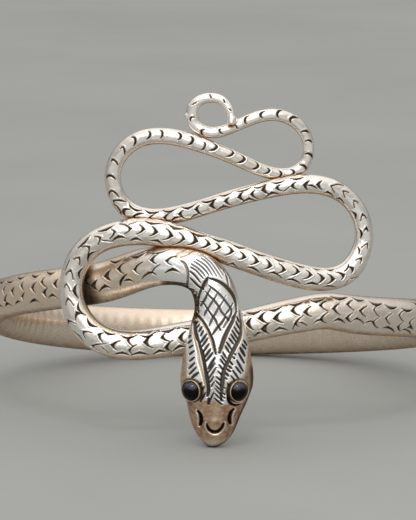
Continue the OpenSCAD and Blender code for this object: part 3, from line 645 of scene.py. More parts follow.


# The head's carving

# Depth, darkness of the bed, edge that is darkest with painted shade (1 left, -1 right of the way that the
# line runs), and the line's points as (x, z, half width)
GROOVES = [
    # Outer edges of the middle leaf
    (0.30, 0.92, 1, [
        (-3.05, 18.9, 0.14), (-3.0, 18.0, 0.22), (-2.85, 17.4, 0.28), (-2.77, 16.6, 0.31),
        (-2.56, 15.85, 0.29), (-2.25, 15.2, 0.17), (-2.05, 14.5, 0.17), (-1.82, 13.85, 0.25),
        (-1.65, 13.2, 0.26), (-1.5, 12.4, 0.22), (-1.32, 11.4, 0.23), (-1.14, 10.45, 0.28),
        (-1.0, 9.6, 0.26), (-0.91, 8.75, 0.24), (-0.98, 8.05, 0.22), (-1.1, 7.7, 0.12)]),
    (0.28, 0.88, -1, [
        (3.4, 19.4, 0.10), (3.57, 18.3, 0.17), (3.67, 17.4, 0.24), (3.66, 16.7, 0.25), (3.59, 16.05, 0.28),
        (3.32, 15.4, 0.30), (2.97, 14.8, 0.29), (2.59, 14.1, 0.29), (2.23, 13.5, 0.27), (1.93, 12.8, 0.26),
        (1.58, 12.1, 0.26), (1.28, 11.4, 0.26), (1.13, 10.75, 0.29), (1.05, 10.05, 0.30), (0.99, 9.3, 0.28),
        (0.94, 8.6, 0.22), (0.87, 7.75, 0.17), (0.87, 7.2, 0.10)]),
    # Inner edges of the middle leaf
    (0.22, 0.92, 1, [
        (-2.63, 18.95, 0.20), (-2.2, 18.55, 0.21), (-1.73, 18.1, 0.20), (-1.27, 17.45, 0.18),
        (-0.89, 16.8, 0.17), (-0.56, 16.1, 0.16), (-0.28, 15.4, 0.17), (-0.14, 14.75, 0.17),
        (0.0, 14.05, 0.15), (0.13, 13.55, 0.08)]),
    (0.26, 0.88, -1, [
        (2.97, 19.25, 0.15), (2.73, 18.6, 0.22), (2.41, 17.95, 0.26), (2.04, 17.3, 0.27), (1.69, 16.65, 0.28),
        (1.31, 15.85, 0.30), (1.05, 15.15, 0.28), (0.82, 14.45, 0.25), (0.62, 13.8, 0.16)]),
    # Shield on the nape
    (0.16, 0.92, 0, [
        (-0.95, 24.25, 0.08), (-1.35, 23.65, 0.20), (-1.69, 22.95, 0.17), (-2.0, 22.25, 0.14),
        (-2.24, 21.5, 0.15), (-2.35, 20.6, 0.17), (-2.37, 19.75, 0.15), (-2.27, 19.1, 0.10)]),
    (0.12, 0.57, 0, [(-1.0, 23.95, 0.10), (-1.35, 23.35, 0.30), (-1.6, 22.85, 0.20)]),
    (0.22, 0.92, -1, [
        (-0.86, 24.1, 0.08), (0.0, 23.85, 0.16), (0.87, 23.4, 0.21), (1.59, 22.8, 0.24), (2.11, 22.2, 0.25),
        (2.53, 21.55, 0.24), (2.82, 20.8, 0.20), (2.96, 20.0, 0.15), (2.93, 19.4, 0.10)]),
    (0.10, 0.87, 0, [(3.04, 19.6, 0.09), (2.79, 19.1, 0.09), (2.3, 18.5, 0.08)]),
    # Lattice inside the shield
    (0.10, 0.86, 0, [
        (-0.87, 23.1, 0.08), (-0.42, 22.75, 0.13), (0.27, 22.2, 0.13), (0.96, 21.5, 0.14),
        (1.69, 20.55, 0.14), (2.25, 19.75, 0.13)]),
    (0.11, 0.90, 0, [(2.28, 19.6, 0.12), (2.25, 19.05, 0.15), (2.01, 18.6, 0.16), (1.83, 18.2, 0.14)]),
    (0.10, 0.86, 0, [
        (-1.38, 22.25, 0.07), (-0.83, 21.65, 0.13), (-0.18, 21.05, 0.15), (0.48, 20.2, 0.15),
        (0.82, 19.55, 0.14), (1.28, 18.95, 0.14), (1.82, 18.3, 0.14)]),
    (0.10, 0.90, 0, [
        (-1.99, 20.75, 0.08), (-1.55, 20.5, 0.12), (-1.18, 19.95, 0.13), (-0.78, 19.4, 0.12),
        (-0.28, 18.7, 0.15), (0.11, 18.2, 0.15), (0.31, 17.6, 0.09)]),
    (0.10, 0.95, 0, [(0.49, 17.4, 0.10), (0.77, 16.9, 0.11)]),
    (0.10, 0.90, 0, [
        (-0.57, 22.75, 0.08), (-0.9, 22.2, 0.10), (-1.25, 21.45, 0.13), (-1.59, 20.8, 0.16),
        (-2.01, 20.1, 0.10)]),
    (0.10, 0.86, 0, [
        (0.27, 21.9, 0.09), (-0.14, 21.15, 0.11), (-0.56, 20.55, 0.13), (-0.97, 19.85, 0.12),
        (-1.32, 19.3, 0.15), (-1.55, 18.8, 0.09)]),
    (0.10, 0.84, 0, [
        (1.24, 21.05, 0.09), (0.82, 20.4, 0.11), (0.45, 19.9, 0.14), (0.06, 19.2, 0.16), (-0.28, 18.6, 0.14),
        (-0.56, 18.1, 0.16), (-0.83, 17.45, 0.08)]),
    (0.10, 0.86, 0, [(2.48, 20.5, 0.09), (2.23, 20.05, 0.11), (1.82, 19.45, 0.15), (1.42, 19.0, 0.10)]),
    (0.12, 0.90, 0, [
        (1.4, 18.65, 0.11), (0.92, 17.9, 0.19), (0.44, 17.35, 0.20), (0.0, 16.8, 0.18), (-0.32, 16.3, 0.10)]),
    (0.10, 0.74, 0, [(1.78, 18.15, 0.13), (1.51, 17.75, 0.16), (1.2, 17.25, 0.11)]),
    (0.05, 0.42, 0, [(0.63, 22.4, 0.07), (0.52, 22.05, 0.07)]),
    (0.06, 0.62, 0, [(1.57, 21.7, 0.08), (1.37, 21.35, 0.09)]),
    # Fan above the shield
    (0.12, 0.92, 0, [(-3.4, 24.9, 0.13), (-2.9, 24.5, 0.15), (-2.42, 23.95, 0.13), (-2.03, 23.45, 0.09)]),
    (0.10, 0.84, 0, [(-3.33, 25.5, 0.12), (-2.62, 25.1, 0.12), (-2.07, 24.5, 0.11), (-1.62, 24.0, 0.07)]),
    (0.10, 0.82, 0, [(-3.26, 25.95, 0.10), (-2.42, 25.45, 0.11), (-1.8, 24.9, 0.11), (-1.34, 24.3, 0.06)]),
    (0.10, 0.82, 0, [(-2.9, 26.3, 0.09), (-2.0, 25.75, 0.11), (-1.31, 25.1, 0.11), (-0.79, 24.4, 0.06)]),
    (0.10, 0.80, 0, [(-2.55, 26.55, 0.08), (-1.66, 26.05, 0.10), (-0.97, 25.4, 0.11), (-0.35, 24.45, 0.06)]),
    (0.10, 0.80, 0, [(-1.84, 26.7, 0.08), (-1.11, 26.2, 0.10), (-0.42, 25.4, 0.10), (0.27, 24.3, 0.06)]),
    (0.10, 0.78, 0, [(-1.38, 26.75, 0.07), (-0.49, 26.05, 0.09), (0.21, 25.15, 0.10), (1.01, 23.95, 0.06)]),
    (0.09, 0.74, 0, [(-0.69, 26.65, 0.06), (0.0, 26.0, 0.08), (0.69, 25.05, 0.08), (1.19, 24.4, 0.06)]),
    (0.08, 0.67, 0, [(-0.31, 26.6, 0.05), (0.42, 25.85, 0.07), (1.11, 25.05, 0.07), (1.47, 24.5, 0.05)]),
    (0.14, 0.95, 0, [
        (-3.43, 24.0, 0.11), (-3.04, 23.6, 0.18), (-2.49, 23.05, 0.18), (-2.07, 22.75, 0.17),
        (-1.63, 22.55, 0.12)]),
    (0.12, 0.82, 0, [(1.47, 24.4, 0.06), (1.71, 23.8, 0.12), (1.91, 22.85, 0.09)]),
    # Where the neck's scales end
    (0.16, 0.72, 1, [
        (-4.75, 26.3, 0.10), (-4.25, 26.0, 0.18), (-3.95, 25.4, 0.22), (-3.78, 24.7, 0.20),
        (-3.78, 23.8, 0.14), (-3.85, 22.85, 0.13), (-3.72, 22.3, 0.08)]),
    # Down the left side of the head
    (0.16, 0.95, 0, [
        (-3.37, 22.3, 0.09), (-3.16, 21.3, 0.16), (-3.02, 20.3, 0.16), (-2.95, 19.4, 0.22),
        (-3.1, 18.5, 0.30), (-3.2, 17.8, 0.12)]),
    (0.10, 0.75, 0, [(-2.5, 22.1, 0.09), (-2.66, 21.3, 0.13), (-2.59, 20.4, 0.12), (-2.45, 19.6, 0.12)]),
    # Under and beside the eyes
    (0.22, 1.00, 0, [
        (1.93, 8.25, 0.07), (1.86, 7.6, 0.20), (1.95, 7.0, 0.26), (2.3, 6.55, 0.24), (2.85, 6.3, 0.16),
        (3.5, 6.3, 0.09)]),
    (0.16, 0.95, 0, [(-3.57, 9.95, 0.08), (-3.05, 9.7, 0.13), (-2.52, 9.2, 0.10)]),
]
NOSTRILS = [
    [(-2.35, 5.4, 0.19), (-2.08, 5.05, 0.25), (-1.95, 4.55, 0.28), (-1.93, 4.1, 0.28), (-2.0, 3.7, 0.26),
     (-2.1, 3.4, 0.2)],
    [(2.57, 5.7, 0.16), (2.27, 5.35, 0.25), (2.07, 4.85, 0.28), (2.02, 4.35, 0.28), (2.08, 3.85, 0.25),
     (2.2, 3.6, 0.19)],
]
MOUTH = [
    (-1.14, 3.7, 0.07), (-1.03, 3.25, 0.16), (-0.77, 2.8, 0.24), (-0.38, 2.53, 0.27), (-0.03, 2.45, 0.28),
    (0.37, 2.53, 0.27), (0.81, 2.91, 0.24), (1.09, 3.38, 0.17), (1.23, 3.8, 0.07)]
# Worn slopes beside the leaves' left edges, with points as above
BANKS = [
    [(-3.05, 16.1, 0.08), (-2.72, 15.0, 0.15), (-2.52, 14.2, 0.18), (-2.38, 13.4, 0.19), (-2.28, 12.6, 0.20),
     (-2.05, 11.8, 0.18), (-1.83, 11.0, 0.16), (-1.58, 10.0, 0.14), (-1.36, 9.15, 0.08)],
    [(-1.9, 17.75, 0.06), (-1.4, 17.1, 0.11), (-1.0, 16.3, 0.12), (-0.68, 15.5, 0.11), (-0.45, 14.7, 0.10),
     (-0.25, 14.0, 0.06)],
]
# Lower edge of the carved face, with the snout below it
SNOUT_TOP = [
    (-4.6, 6.6), (-2.1, 6.9), (-1.25, 7.05), (-0.93, 6.5), (-0.3, 7.25), (0.97, 6.4), (1.75, 6.5), (4.8, 6.6)]

# Left and right edges of the carved face, from the snout up
FACE_EDGES = [
    [(-3.5, 6.8), (-3.8, 10.4), (-3.88, 13.3), (-3.8, 16.0), (-3.6, 18.0)],
    [(3.6, 7.0), (3.95, 10.7), (4.2, 12.0), (4.4, 13.4), (4.6, 15.0), (4.45, 16.4), (4.1, 18.0)],
]
# Swellings of the snout as (x, z, width, height, rise)
SWELLS = [(0.0, 4.0, 0.9, 0.5, 0.12), (0.05, 1.6, 1.3, 0.35, 0.10)]
# Soft stains on the head as (x, z, width, height, brown, black)
STAINS = [
    (-3.3, 6.35, 0.6, 0.4, 0.9, 0.45), (-2.7, 5.9, 0.5, 0.5, 0.9, 0.0), (4.4, 10.2, 0.6, 0.5, 0.95, 0.55),
    (3.8, 9.9, 0.6, 0.3, 0.8, 0.2), (3.5, 6.0, 0.6, 0.5, 0.9, 0.2), (-1.6, 5.9, 0.9, 0.5, 0.95, 0.0),
    (1.6, 5.9, 0.8, 0.5, 0.95, 0.0), (-2.9, 3.2, 0.5, 0.9, 0.8, 0.0), (2.7, 2.6, 0.5, 0.8, 0.8, 0.1),
]

# Cut strokes, each read off the photo: both ends as x and y in its pixels, and half the width, which
# is in millimetres
STROKES = [
    # Left leaf
    (188, 337, 190.8, 334.8, 0.12), (187.8, 342.7, 191.5, 339.8, 0.12), (188.6, 347.8, 192.8, 345, 0.13),
    (189, 354.2, 194, 350.6, 0.14), (189, 361.2, 194.3, 357, 0.14), (188.5, 368.5, 194.5, 362.6, 0.14),
    (188.8, 374.3, 196, 367.3, 0.15), (191.5, 377.8, 198.3, 372.5, 0.2),
    (198.3, 386.4, 201.8, 382.4, 0.14), (199.4, 391.8, 204.5, 386.8, 0.15), (200, 401.8, 205.5, 393, 0.17),
    # Left half of the middle leaf
    (195.3, 324.5, 197.9, 321, 0.11), (196.9, 327.4, 199.4, 324.2, 0.11),
    (198.6, 331.5, 201.9, 326.7, 0.15), (200.3, 336, 203.4, 330.4, 0.13),
    (200.4, 342.8, 206.4, 334.2, 0.15), (201.6, 346.8, 207.8, 338.2, 0.15),
    (202.8, 352.5, 209, 343.8, 0.15), (205.2, 357, 210.5, 349, 0.16), (205.9, 361.3, 212.8, 352.8, 0.15),
    (208.3, 368.8, 214.8, 357.8, 0.17), (207.9, 373.2, 215, 363, 0.14), (209, 378.6, 216.2, 367.6, 0.14),
    (209.9, 382.8, 213.4, 376.8, 0.13), (211.2, 387.2, 214, 382.2, 0.14),
    (208.3, 404.3, 213.9, 392.3, 0.16), (208.3, 404.3, 208.6, 398.5, 0.2),
    # Right half of the middle leaf
    (237, 316.8, 239.2, 322, 0.12), (236, 321.6, 240, 329.2, 0.13), (234.3, 326.8, 239.8, 335.4, 0.14),
    (232.3, 330.4, 238.2, 339.6, 0.14), (231.1, 334.4, 236.2, 341.9, 0.13),
    (229, 338.2, 233.8, 344.2, 0.14), (226.8, 342.3, 231.6, 349.4, 0.14), (225.3, 346, 229.4, 352.6, 0.14),
    (222.8, 352.3, 226.5, 358.6, 0.13), (221.5, 356, 226, 362.4, 0.13), (220.3, 359.3, 224.5, 365.2, 0.13),
    (219.2, 364.8, 223, 370, 0.14), (217.8, 371.2, 221.5, 375, 0.13), (216.2, 377, 220.8, 380.8, 0.16),
    (215.7, 381, 220, 385.4, 0.13), (215.5, 385.6, 220.2, 390.5, 0.13), (215, 388.8, 221, 395.2, 0.13),
    (215.1, 394, 219.7, 398.8, 0.14), (214.2, 398.4, 222, 405, 0.15), (222.8, 393.2, 225.3, 395, 0.12),
    (221.6, 396.2, 225.1, 398.4, 0.12), (220.5, 399.2, 223, 401.4, 0.16),
    # Right leaf
    (243.8, 339.8, 247.3, 345.4, 0.13), (242.4, 344.2, 246.3, 349.2, 0.13),
    (240.4, 347.8, 245.3, 356, 0.19), (238.8, 353.3, 244.6, 363.2, 0.15), (237, 360.3, 243.6, 371.6, 0.15),
    (235.9, 366.8, 241.3, 373.6, 0.12), (232.9, 370.4, 239, 379, 0.14), (231.2, 375.9, 235.6, 381.5, 0.12),
    (227.7, 383.4, 231.3, 388.8, 0.12),
    # Short barbs at the right leaf's inner edge
    (234.3, 353.8, 236.3, 354.9, 0.11), (233, 357, 235, 358.9, 0.12), (230, 361.6, 233, 365, 0.15),
    (228.6, 366, 231.9, 368.6, 0.13), (226.9, 369.2, 230.8, 371.9, 0.14),
    (225.5, 372.9, 228.8, 376.3, 0.16), (225, 377.8, 227, 379.5, 0.12), (224.2, 387.8, 225.4, 388.9, 0.14),
]
# Where the carving of the nape ends, at its back
NAPE_EDGE = [
    (-4.85, 26.75), (-4.28, 26.95), (-3.73, 27.15), (-3.31, 27.4), (-2.76, 27.55), (-2.07, 27.45),
    (-1.38, 27.2), (-0.69, 26.8), (-0.14, 26.4), (0.42, 25.7), (0.83, 25.2)]


def half_at(line, share):
    """The line's half width at each share of its length."""
    run = np.concatenate([[0], np.cumsum(np.linalg.norm(np.diff(line[:, :2], axis=0), axis=1))])
    return np.interp(share * run[-1], run, line[:, 2])


HEAD_END = 31.0
CUT_FACING = (0.05, 0.3)  # ramp of how much the surface faces forwards, where the cuts set in
NEAR_GROOVE, NEAR_STROKE, NEAR_BANK = 1.2, 0.6, 0.8
NEAR_SPOT = 2.2  # in its widths and heights
# Places and ramps across a cut, as shares of its half width
GROOVE_BED, GROOVE_DARK, GROOVE_CREST, GROOVE_BROWN = (0.5, 1.1), (0.78, 1.12), 1.3, 1.15
STROKE_BED, STROKE_DARK, STROKE_CREST = (0.35, 1.25), (0.8, 1.2), 1.5
BANK_EDGE, SHADED_EDGE = (0.7, 1.3), (0.0, 0.6)
FULL_HALF = 0.14  # a groove of a smaller half width is less deep
THIN_HALF, WIDENED = (0.2, 0.12), 0.2  # ramp of the half width where it is cut wider, and the share added
BROAD_HALF = (0.14, 0.24)  # ramp of the half width where a brown stain sets in beside a groove
GROOVE_STAIN, STAIN_WIDTH = 0.55, 0.09
CREST_AT, CREST_HEIGHT, RIDGE_WIDTH = 0.05, 0.02, 0.1
RIM_AT, RIM_HEIGHT, RIM_SIDE = 0.11, 0.07, (-0.1, 0.1)
BANK_DEPTH, BANK_STAIN = 0.06, 0.6
STROKE_DEPTH, STROKE_OXIDE, STROKE_SPREAD = 0.14, 0.95, 0.06
STROKE_RIDGE, STROKE_RIDGE_WIDTH = 0.012, 0.07
# A stroke is narrower at its ends, by an arc of a sine curve between two shares of half a turn
STROKE_ENDS, STROKE_THIN, STROKE_BULGE = (0.1, 0.94), 0.55, 0.6


class Carving:
    """Cuts lines into the head's face."""

    def __init__(self, skin):
        self.skin = skin
        rows = np.flatnonzero(skin.s < HEAD_END)
        self.rows = slice(rows[0], rows[-1] + 1)
        self.x, self.z = skin.plain[self.rows, :, 0], skin.plain[self.rows, :, 2]
        self.facing = smooth(*CUT_FACING, -skin.normals[self.rows, :, 1])

    def near(self, line, reach):
        """The part of the grid near the line, as (mask, x, z)."""
        low, high = line.min(0) - reach, line.max(0) + reach
        beside = (self.x > low[0]) & (self.x < high[0])
        level = (self.z > low[1]) & (self.z < high[1])
        mask = beside & level & (self.facing > 0)
        return mask, self.x[mask], self.z[mask]

    def add(self, mask, relief, oxide_and_shade=None, warm=None):
        facing = self.facing[mask]
        self.skin.relief[self.rows][mask] += relief * facing
        for field, amount in ((self.skin.oxide_and_shade, oxide_and_shade), (self.skin.warm, warm)):
            if amount is not None:
                field[self.rows][mask] = np.maximum(field[self.rows][mask], amount * facing)

    def groove(self, line, depth, dark=1.0, edge=0, rim=0):
        """A groove with a dark bed. An edge of 1 or -1 paints shade on its left or right edge, which makes it
        the darkest, and a rim of 1 or -1 raises a bright lip on that side."""
        line = flowing(line)
        mask, x, z = self.near(line[:, :2], NEAR_GROOVE)
        signed, share = along_line(line[:, :2], x, z)
        half = half_at(line, share)
        half = half * (1 + WIDENED * smooth(*THIN_HALF, half))
        d = np.abs(signed)
        bed, inside = (1 - smooth(half * ramp[0], half * ramp[1], d) for ramp in (GROOVE_BED, GROOVE_DARK))
        oxide_and_shade = dark * inside
        # painted shade, darkest along one edge of the groove
        if edge:
            oxide_and_shade = np.maximum(oxide_and_shade, inside * smooth(*SHADED_EDGE, signed * edge / half))
        crest = bell(d - half * GROOVE_CREST - CREST_AT, RIDGE_WIDTH)
        relief = CREST_HEIGHT * crest - depth * bed * np.minimum(1, half / FULL_HALF)
        if rim:
            lip = bell(d - half * GROOVE_BROWN - RIM_AT, RIDGE_WIDTH) * smooth(*RIM_SIDE, signed * rim)
            relief = relief + RIM_HEIGHT * lip
            self.skin.warm[self.rows][mask] *= 1 - lip
        brown = bell(d - half * GROOVE_BROWN, STAIN_WIDTH) * smooth(*BROAD_HALF, half)
        self.add(mask, relief, oxide_and_shade, GROOVE_STAIN * brown)

    def bank(self, line):
        """A shallow worn slope with a warm stain."""
        line = flowing(line)
        mask, x, z = self.near(line[:, :2], NEAR_BANK)
        signed, share = along_line(line[:, :2], x, z)
        half = half_at(line, share)
        strip = 1 - smooth(half * BANK_EDGE[0], half * BANK_EDGE[1], np.abs(signed))
        self.add(mask, -BANK_DEPTH * strip, None, BANK_STAIN * strip)

    def stroke(self, start, end, half):
        """A short straight cut with blunt ends."""
        half = half * (1 + rng.normal(0, STROKE_SPREAD))
        line = np.array([start, end], float)
        mask, x, z = self.near(line, NEAR_STROKE)
        signed, share = along_line(line, x, z)
        bulging = np.sin(math.pi * np.interp(share, (0, 1), STROKE_ENDS))
        half = half * (STROKE_THIN + STROKE_BULGE * bulging)
        d = np.abs(signed)
        bed, inside = (1 - smooth(half * ramp[0], half * ramp[1], d) for ramp in (STROKE_BED, STROKE_DARK))
        ridge = STROKE_RIDGE * bell(d - half * STROKE_CREST, STROKE_RIDGE_WIDTH)
        self.add(mask, ridge - STROKE_DEPTH * bed, STROKE_OXIDE * inside)

    def spot(self, x, z, width, height):
        """A soft round place, as its mask and its strength, which is 1 in the middle."""
        d = np.hypot((self.x - x) / width, (self.z - z) / height)
        mask = (d < NEAR_SPOT) & (self.facing > 0)
        return mask, bell(d[mask], 1)


EYE_D, EYE_RISE, EYE_SIDE, EYE_Z, EYE_TURN = 2.8, 1.1, 3.28, 8.4, 32
BEZEL_WALL, BEZEL_RISE, BEZEL_ROOT, SEAT_DEPTH = 0.17, 0.3, 1.6, 0.9


def head_value(z, column):
    rows = np.array(HEAD_ROWS)
    return float(np.interp(z, rows[:, 1], rows[:, column]))


def head_front_y(x, z):
    share = 2 * abs(x - head_value(z, 0)) / head_value(z, 2)
    square = head_value(z, 5)
    bulge = max(0, 1 - min(1, share) ** (2 / square)) ** (square / 2)
    return x * x / (2 * BOW_RADIUS) + head_value(z, 4) - FOLDS_FRONT - head_value(z, 3) / 2 * bulge


def eye_place(side):
    """Where an eye's bezel stands on the face, and the direction that it looks in."""
    x = side * EYE_SIDE
    turn = math.radians(side * EYE_TURN)
    return np.array([x, head_front_y(x, EYE_Z), EYE_Z]), np.array([math.sin(turn), -math.cos(turn), 0])


FACE_Y, FACE_ROUNDS = -34.0, 6  # about where the face lies, and how often that is made more exact
NOSTRIL_DEPTH, MOUTH_DEPTH = 0.36, 0.34


def on_face(px, py):
    """The place on the head's front, as (x, z), that shows at a pixel of the photo."""
    right, up = px - PHOTO_WIDTH / 2, PHOTO_HEIGHT / 2 - py
    ray = up * PICTURE_UP - FOCAL_PIXELS * TO_CAMERA + (right, 0, 0)
    y = FACE_Y
    for _ in range(FACE_ROUNDS):
        x, _, z = CAMERA_PLACE + ray * (y - CAMERA_PLACE[1]) / ray[1]
        y = head_front_y(x, z)
    return x, z


def carve_head(skin):
    carving = Carving(skin)
    snout_stain(carving)
    side_stain_and_shade(carving)
    for side in (-1, 1):
        ring_round_eye(carving, side)
    for line in BANKS:
        carving.bank(line)
    for depth, dark, edge, line in GROOVES:
        carving.groove(line, depth, dark, edge)
    for ax, ay, bx, by, half in STROKES:
        carving.stroke(on_face(ax, ay), on_face(bx, by), half)
    for *place, rise in SWELLS:
        mask, strength = carving.spot(*place)
        carving.add(mask, rise * strength)
    for line, rim in zip(NOSTRILS, (-1, 1)):
        carving.groove(line, NOSTRIL_DEPTH, rim=rim)
    carving.groove(MOUTH, MOUTH_DEPTH, rim=-1)
    nape_band(carving)


MOAT_AT, MOAT_WIDTH, MOAT_DEPTH = 0.05, 0.13, 0.12
MOAT_REACH = 3  # along the direction that the eye looks in
MOAT_STAIN, MOAT_STAIN_WIDTH = 0.85, 0.2
MOAT_OXIDE, OXIDE_BELOW, BELOW_EYE = 0.65, 0.3, (0.6, -1.2)


def ring_round_eye(carving, side):
    """A dark stained moat round an eye's bezel, darker below it."""
    place, looks = eye_place(side)
    skin, rows = carving.skin, carving.rows
    away = skin.plain[rows] - place
    off_axis = np.linalg.norm(away - (away @ looks)[..., None] * looks, axis=2)
    near = np.abs(away @ looks) < MOAT_REACH
    past_rim = off_axis - EYE_D / 2 - BEZEL_WALL - MOAT_AT
    moat = bell(past_rim, MOAT_WIDTH) * near
    skin.relief[rows] -= MOAT_DEPTH * moat
    oxide_and_shade = MOAT_OXIDE + OXIDE_BELOW * smooth(*BELOW_EYE, away[..., 2])
    skin.oxide_and_shade[rows] = np.maximum(skin.oxide_and_shade[rows], moat * oxide_and_shade)
    skin.warm[rows] = np.maximum(skin.warm[rows], bell(past_rim, MOAT_STAIN_WIDTH) * near * MOAT_STAIN)


SNOUT_EDGE, SNOUT_END, CHIN = (0.12, -0.12), (-1.0, 1.5), (-0.4, 2.4)
SNOUT_BROWN, SNOUT_MIDDLE, MIDDLE_WIDTH, SNOUT_SINK = 0.98, 0.2, 0.8, 0.05
POLISH_EDGE = (-0.1, 0.3)


def snout_stain(carving):
    """The snout below the carving is smooth and brownish, a little lower than the carved face."""
    above = carving.z - np.interp(carving.x, *zip(*SNOUT_TOP))
    below = smooth(*SNOUT_EDGE, above) * smooth(*SNOUT_END, carving.z)
    mask = carving.facing > 0
    brown = below * (SNOUT_BROWN - SNOUT_MIDDLE * bell(carving.x, MIDDLE_WIDTH)) * smooth(*CHIN, carving.z)
    carving.add(mask, -SNOUT_SINK * below[mask], None, brown[mask])
    carving.skin.polish[carving.rows] = smooth(*POLISH_EDGE, above) * carving.facing


SIDE_BROWN, SIDE_DARK = 0.75, 0.85
# Ramps of place, height and the way that the surface turns, where each stain and each painted shade sets in
PAST_LEFT, PAST_RIGHT, SIDES_TOP = (0.1, -0.25), (-0.1, 0.25), (20.5, 18)
FACING_RIGHT, RIGHT_TOP = (0.6, 0.9), (12.5, 11)
FACING_DOWN, CHIN_TOP = (0.45, 0.85), (2, 1)
NAPE_TURNED, NAPE_NOT_BACK, NAPE_LEFT_OR_DOWN = (0.74, 0.58), (-0.6, -0.1), (-0.15, -0.45)
NAPE_BOTTOM, NAPE_TOP, NAPE_LEFT, NAPE_RIGHT = (17.2, 18.0), (26.0, 24.5), (-8.5, -6.5), (0, -1.5)
NAPE_SIDE_DARK, NAPE_SIDE_MOTTLE = 0.82, 0.14


def side_stain_and_shade(carving):
    """The head's sides are duller and browner than its face. Painted shade darkens it low where it faces
    right, and under the chin, and a ragged dark brown line runs down the left side of the nape."""
    x, z, skin, rows = carving.x, carving.z, carving.skin, carving.rows
    left, right = (np.interp(z, [p[1] for p in edge], [p[0] for p in edge]) for edge in FACE_EDGES)
    outside = np.maximum(smooth(*PAST_LEFT, x - left), smooth(*PAST_RIGHT, x - right)) * smooth(*SIDES_TOP, z)
    to_right, ahead, up = skin.normals[rows].transpose(2, 0, 1) * np.array((1, -1, 1))[:, None, None]
    low_right = smooth(*FACING_RIGHT, to_right) * smooth(*RIGHT_TOP, z)
    under_chin = smooth(*FACING_DOWN, -up) * smooth(*CHIN_TOP, z)
    ragged = ahead + 0.07 * np.sin(7 * z) + 0.05 * np.sin(17 * z + 1)
    turned = smooth(*NAPE_TURNED, ragged) * smooth(*NAPE_NOT_BACK, ahead)
    turned = turned * smooth(*NAPE_LEFT_OR_DOWN, to_right + up)
    contour = turned * smooth(*NAPE_BOTTOM, z) * smooth(*NAPE_TOP, z)
    contour = contour * smooth(*NAPE_LEFT, x) * smooth(*NAPE_RIGHT, x)
    mottled = NAPE_SIDE_DARK + NAPE_SIDE_MOTTLE * np.sin(9 * z) * np.sin(4 * z)
    # painted shade low on the right side and under the chin, and a ragged dark brown line down the left of
    # the nape
    dark = np.maximum(SIDE_DARK * np.maximum(low_right, under_chin), mottled * contour)
    skin.oxide_and_shade[rows] = np.maximum(skin.oxide_and_shade[rows], dark)
    skin.warm[rows] = np.maximum(skin.warm[rows], np.maximum(SIDE_BROWN * outside, contour))
    for *place, brown, black in STAINS:
        mask, strength = carving.spot(*place)
        carving.add(mask, 0, black * strength, brown * strength)


NAPE_BAND, NAPE_BAND_START, NAPE_BAND_END = 0.8, (-0.08, 0.08), (0.8, 0.6)
NAPE_LINES = [(0, 1.0, 0.09), (0.62, 0.8, 0.1)]  # how far in, strength and width
NAPE_LINE_DEPTH, NAPE_LINE_OXIDE, NAPE_LINE_BROWN, NAPE_BAND_BROWN = 0.06, 0.4, 0.9, 0.45


def nape_band(carving):
    """The stained band between two fine lines where the nape's carving ends."""
    line = flowing(NAPE_EDGE)
    mask, x, z = carving.near(line, NAPE_BAND)
    signed = along_line(line, x, z)[0]
    strip = smooth(*NAPE_BAND_START, signed) * smooth(*NAPE_BAND_END, signed)
    lines = sum(strength * bell(signed - inwards, width) for inwards, strength, width in NAPE_LINES)
    brown = np.maximum(NAPE_BAND_BROWN * strip, NAPE_LINE_BROWN * lines)
    carving.add(mask, -NAPE_LINE_DEPTH * lines, NAPE_LINE_OXIDE * lines, brown)


# Meshes


def make_object(name, vertices, faces, material, fields=None, normals=None):
    mesh = bpy.data.meshes.new(name)
    mesh.from_pydata(vertices * MM, [], faces)
    mesh.materials.append(material)
    mesh.polygons.foreach_set("use_smooth", [True] * len(mesh.polygons))
    for key, values in (fields or {}).items():
        attribute = mesh.attributes.new(key, "FLOAT", "POINT")
        attribute.data.foreach_set("value", values.astype(np.float32))
    if normals is not None:
        mesh.normals_split_custom_set_from_vertices(normals)
    piece = bpy.data.objects.new(name, mesh)
    bpy.context.collection.objects.link(piece)
    return piece


def make_rod_piece(name, skin, material):
    points, normals, fields = skin.mesh_parts()
    rows, columns = points.shape[:2]
    index = np.arange(rows * columns).reshape(rows, columns)
    near, far = index[:-1], index[1:]
    quads = np.stack([near, far, np.roll(far, -1, 1), np.roll(near, -1, 1)], axis=2).reshape(-1, 4)
    vertices, directions = points.reshape(-1, 3), normals.reshape(-1, 3)
    values = {key: field.ravel() for key, field in fields.items()}
    caps = []
    for ring, sign in ((index[0], -1), (index[-1], 1)):
        middle = len(vertices)
        heading = unit((points[1] - points[0] if sign < 0 else points[-1] - points[-2]).mean(0))
        vertices = np.vstack([vertices, vertices[ring].mean(0)])
        directions = np.vstack([directions, sign * heading])
        values = {key: np.append(field, 0) for key, field in values.items()}
        pairs = zip(ring, np.roll(ring, -1))
        caps += [(middle, a, b) if sign < 0 else (middle, b, a) for a, b in pairs]
    piece = make_object(name, vertices, quads.tolist() + caps, material, values, directions)
    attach(piece, "root")
    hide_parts("snake")


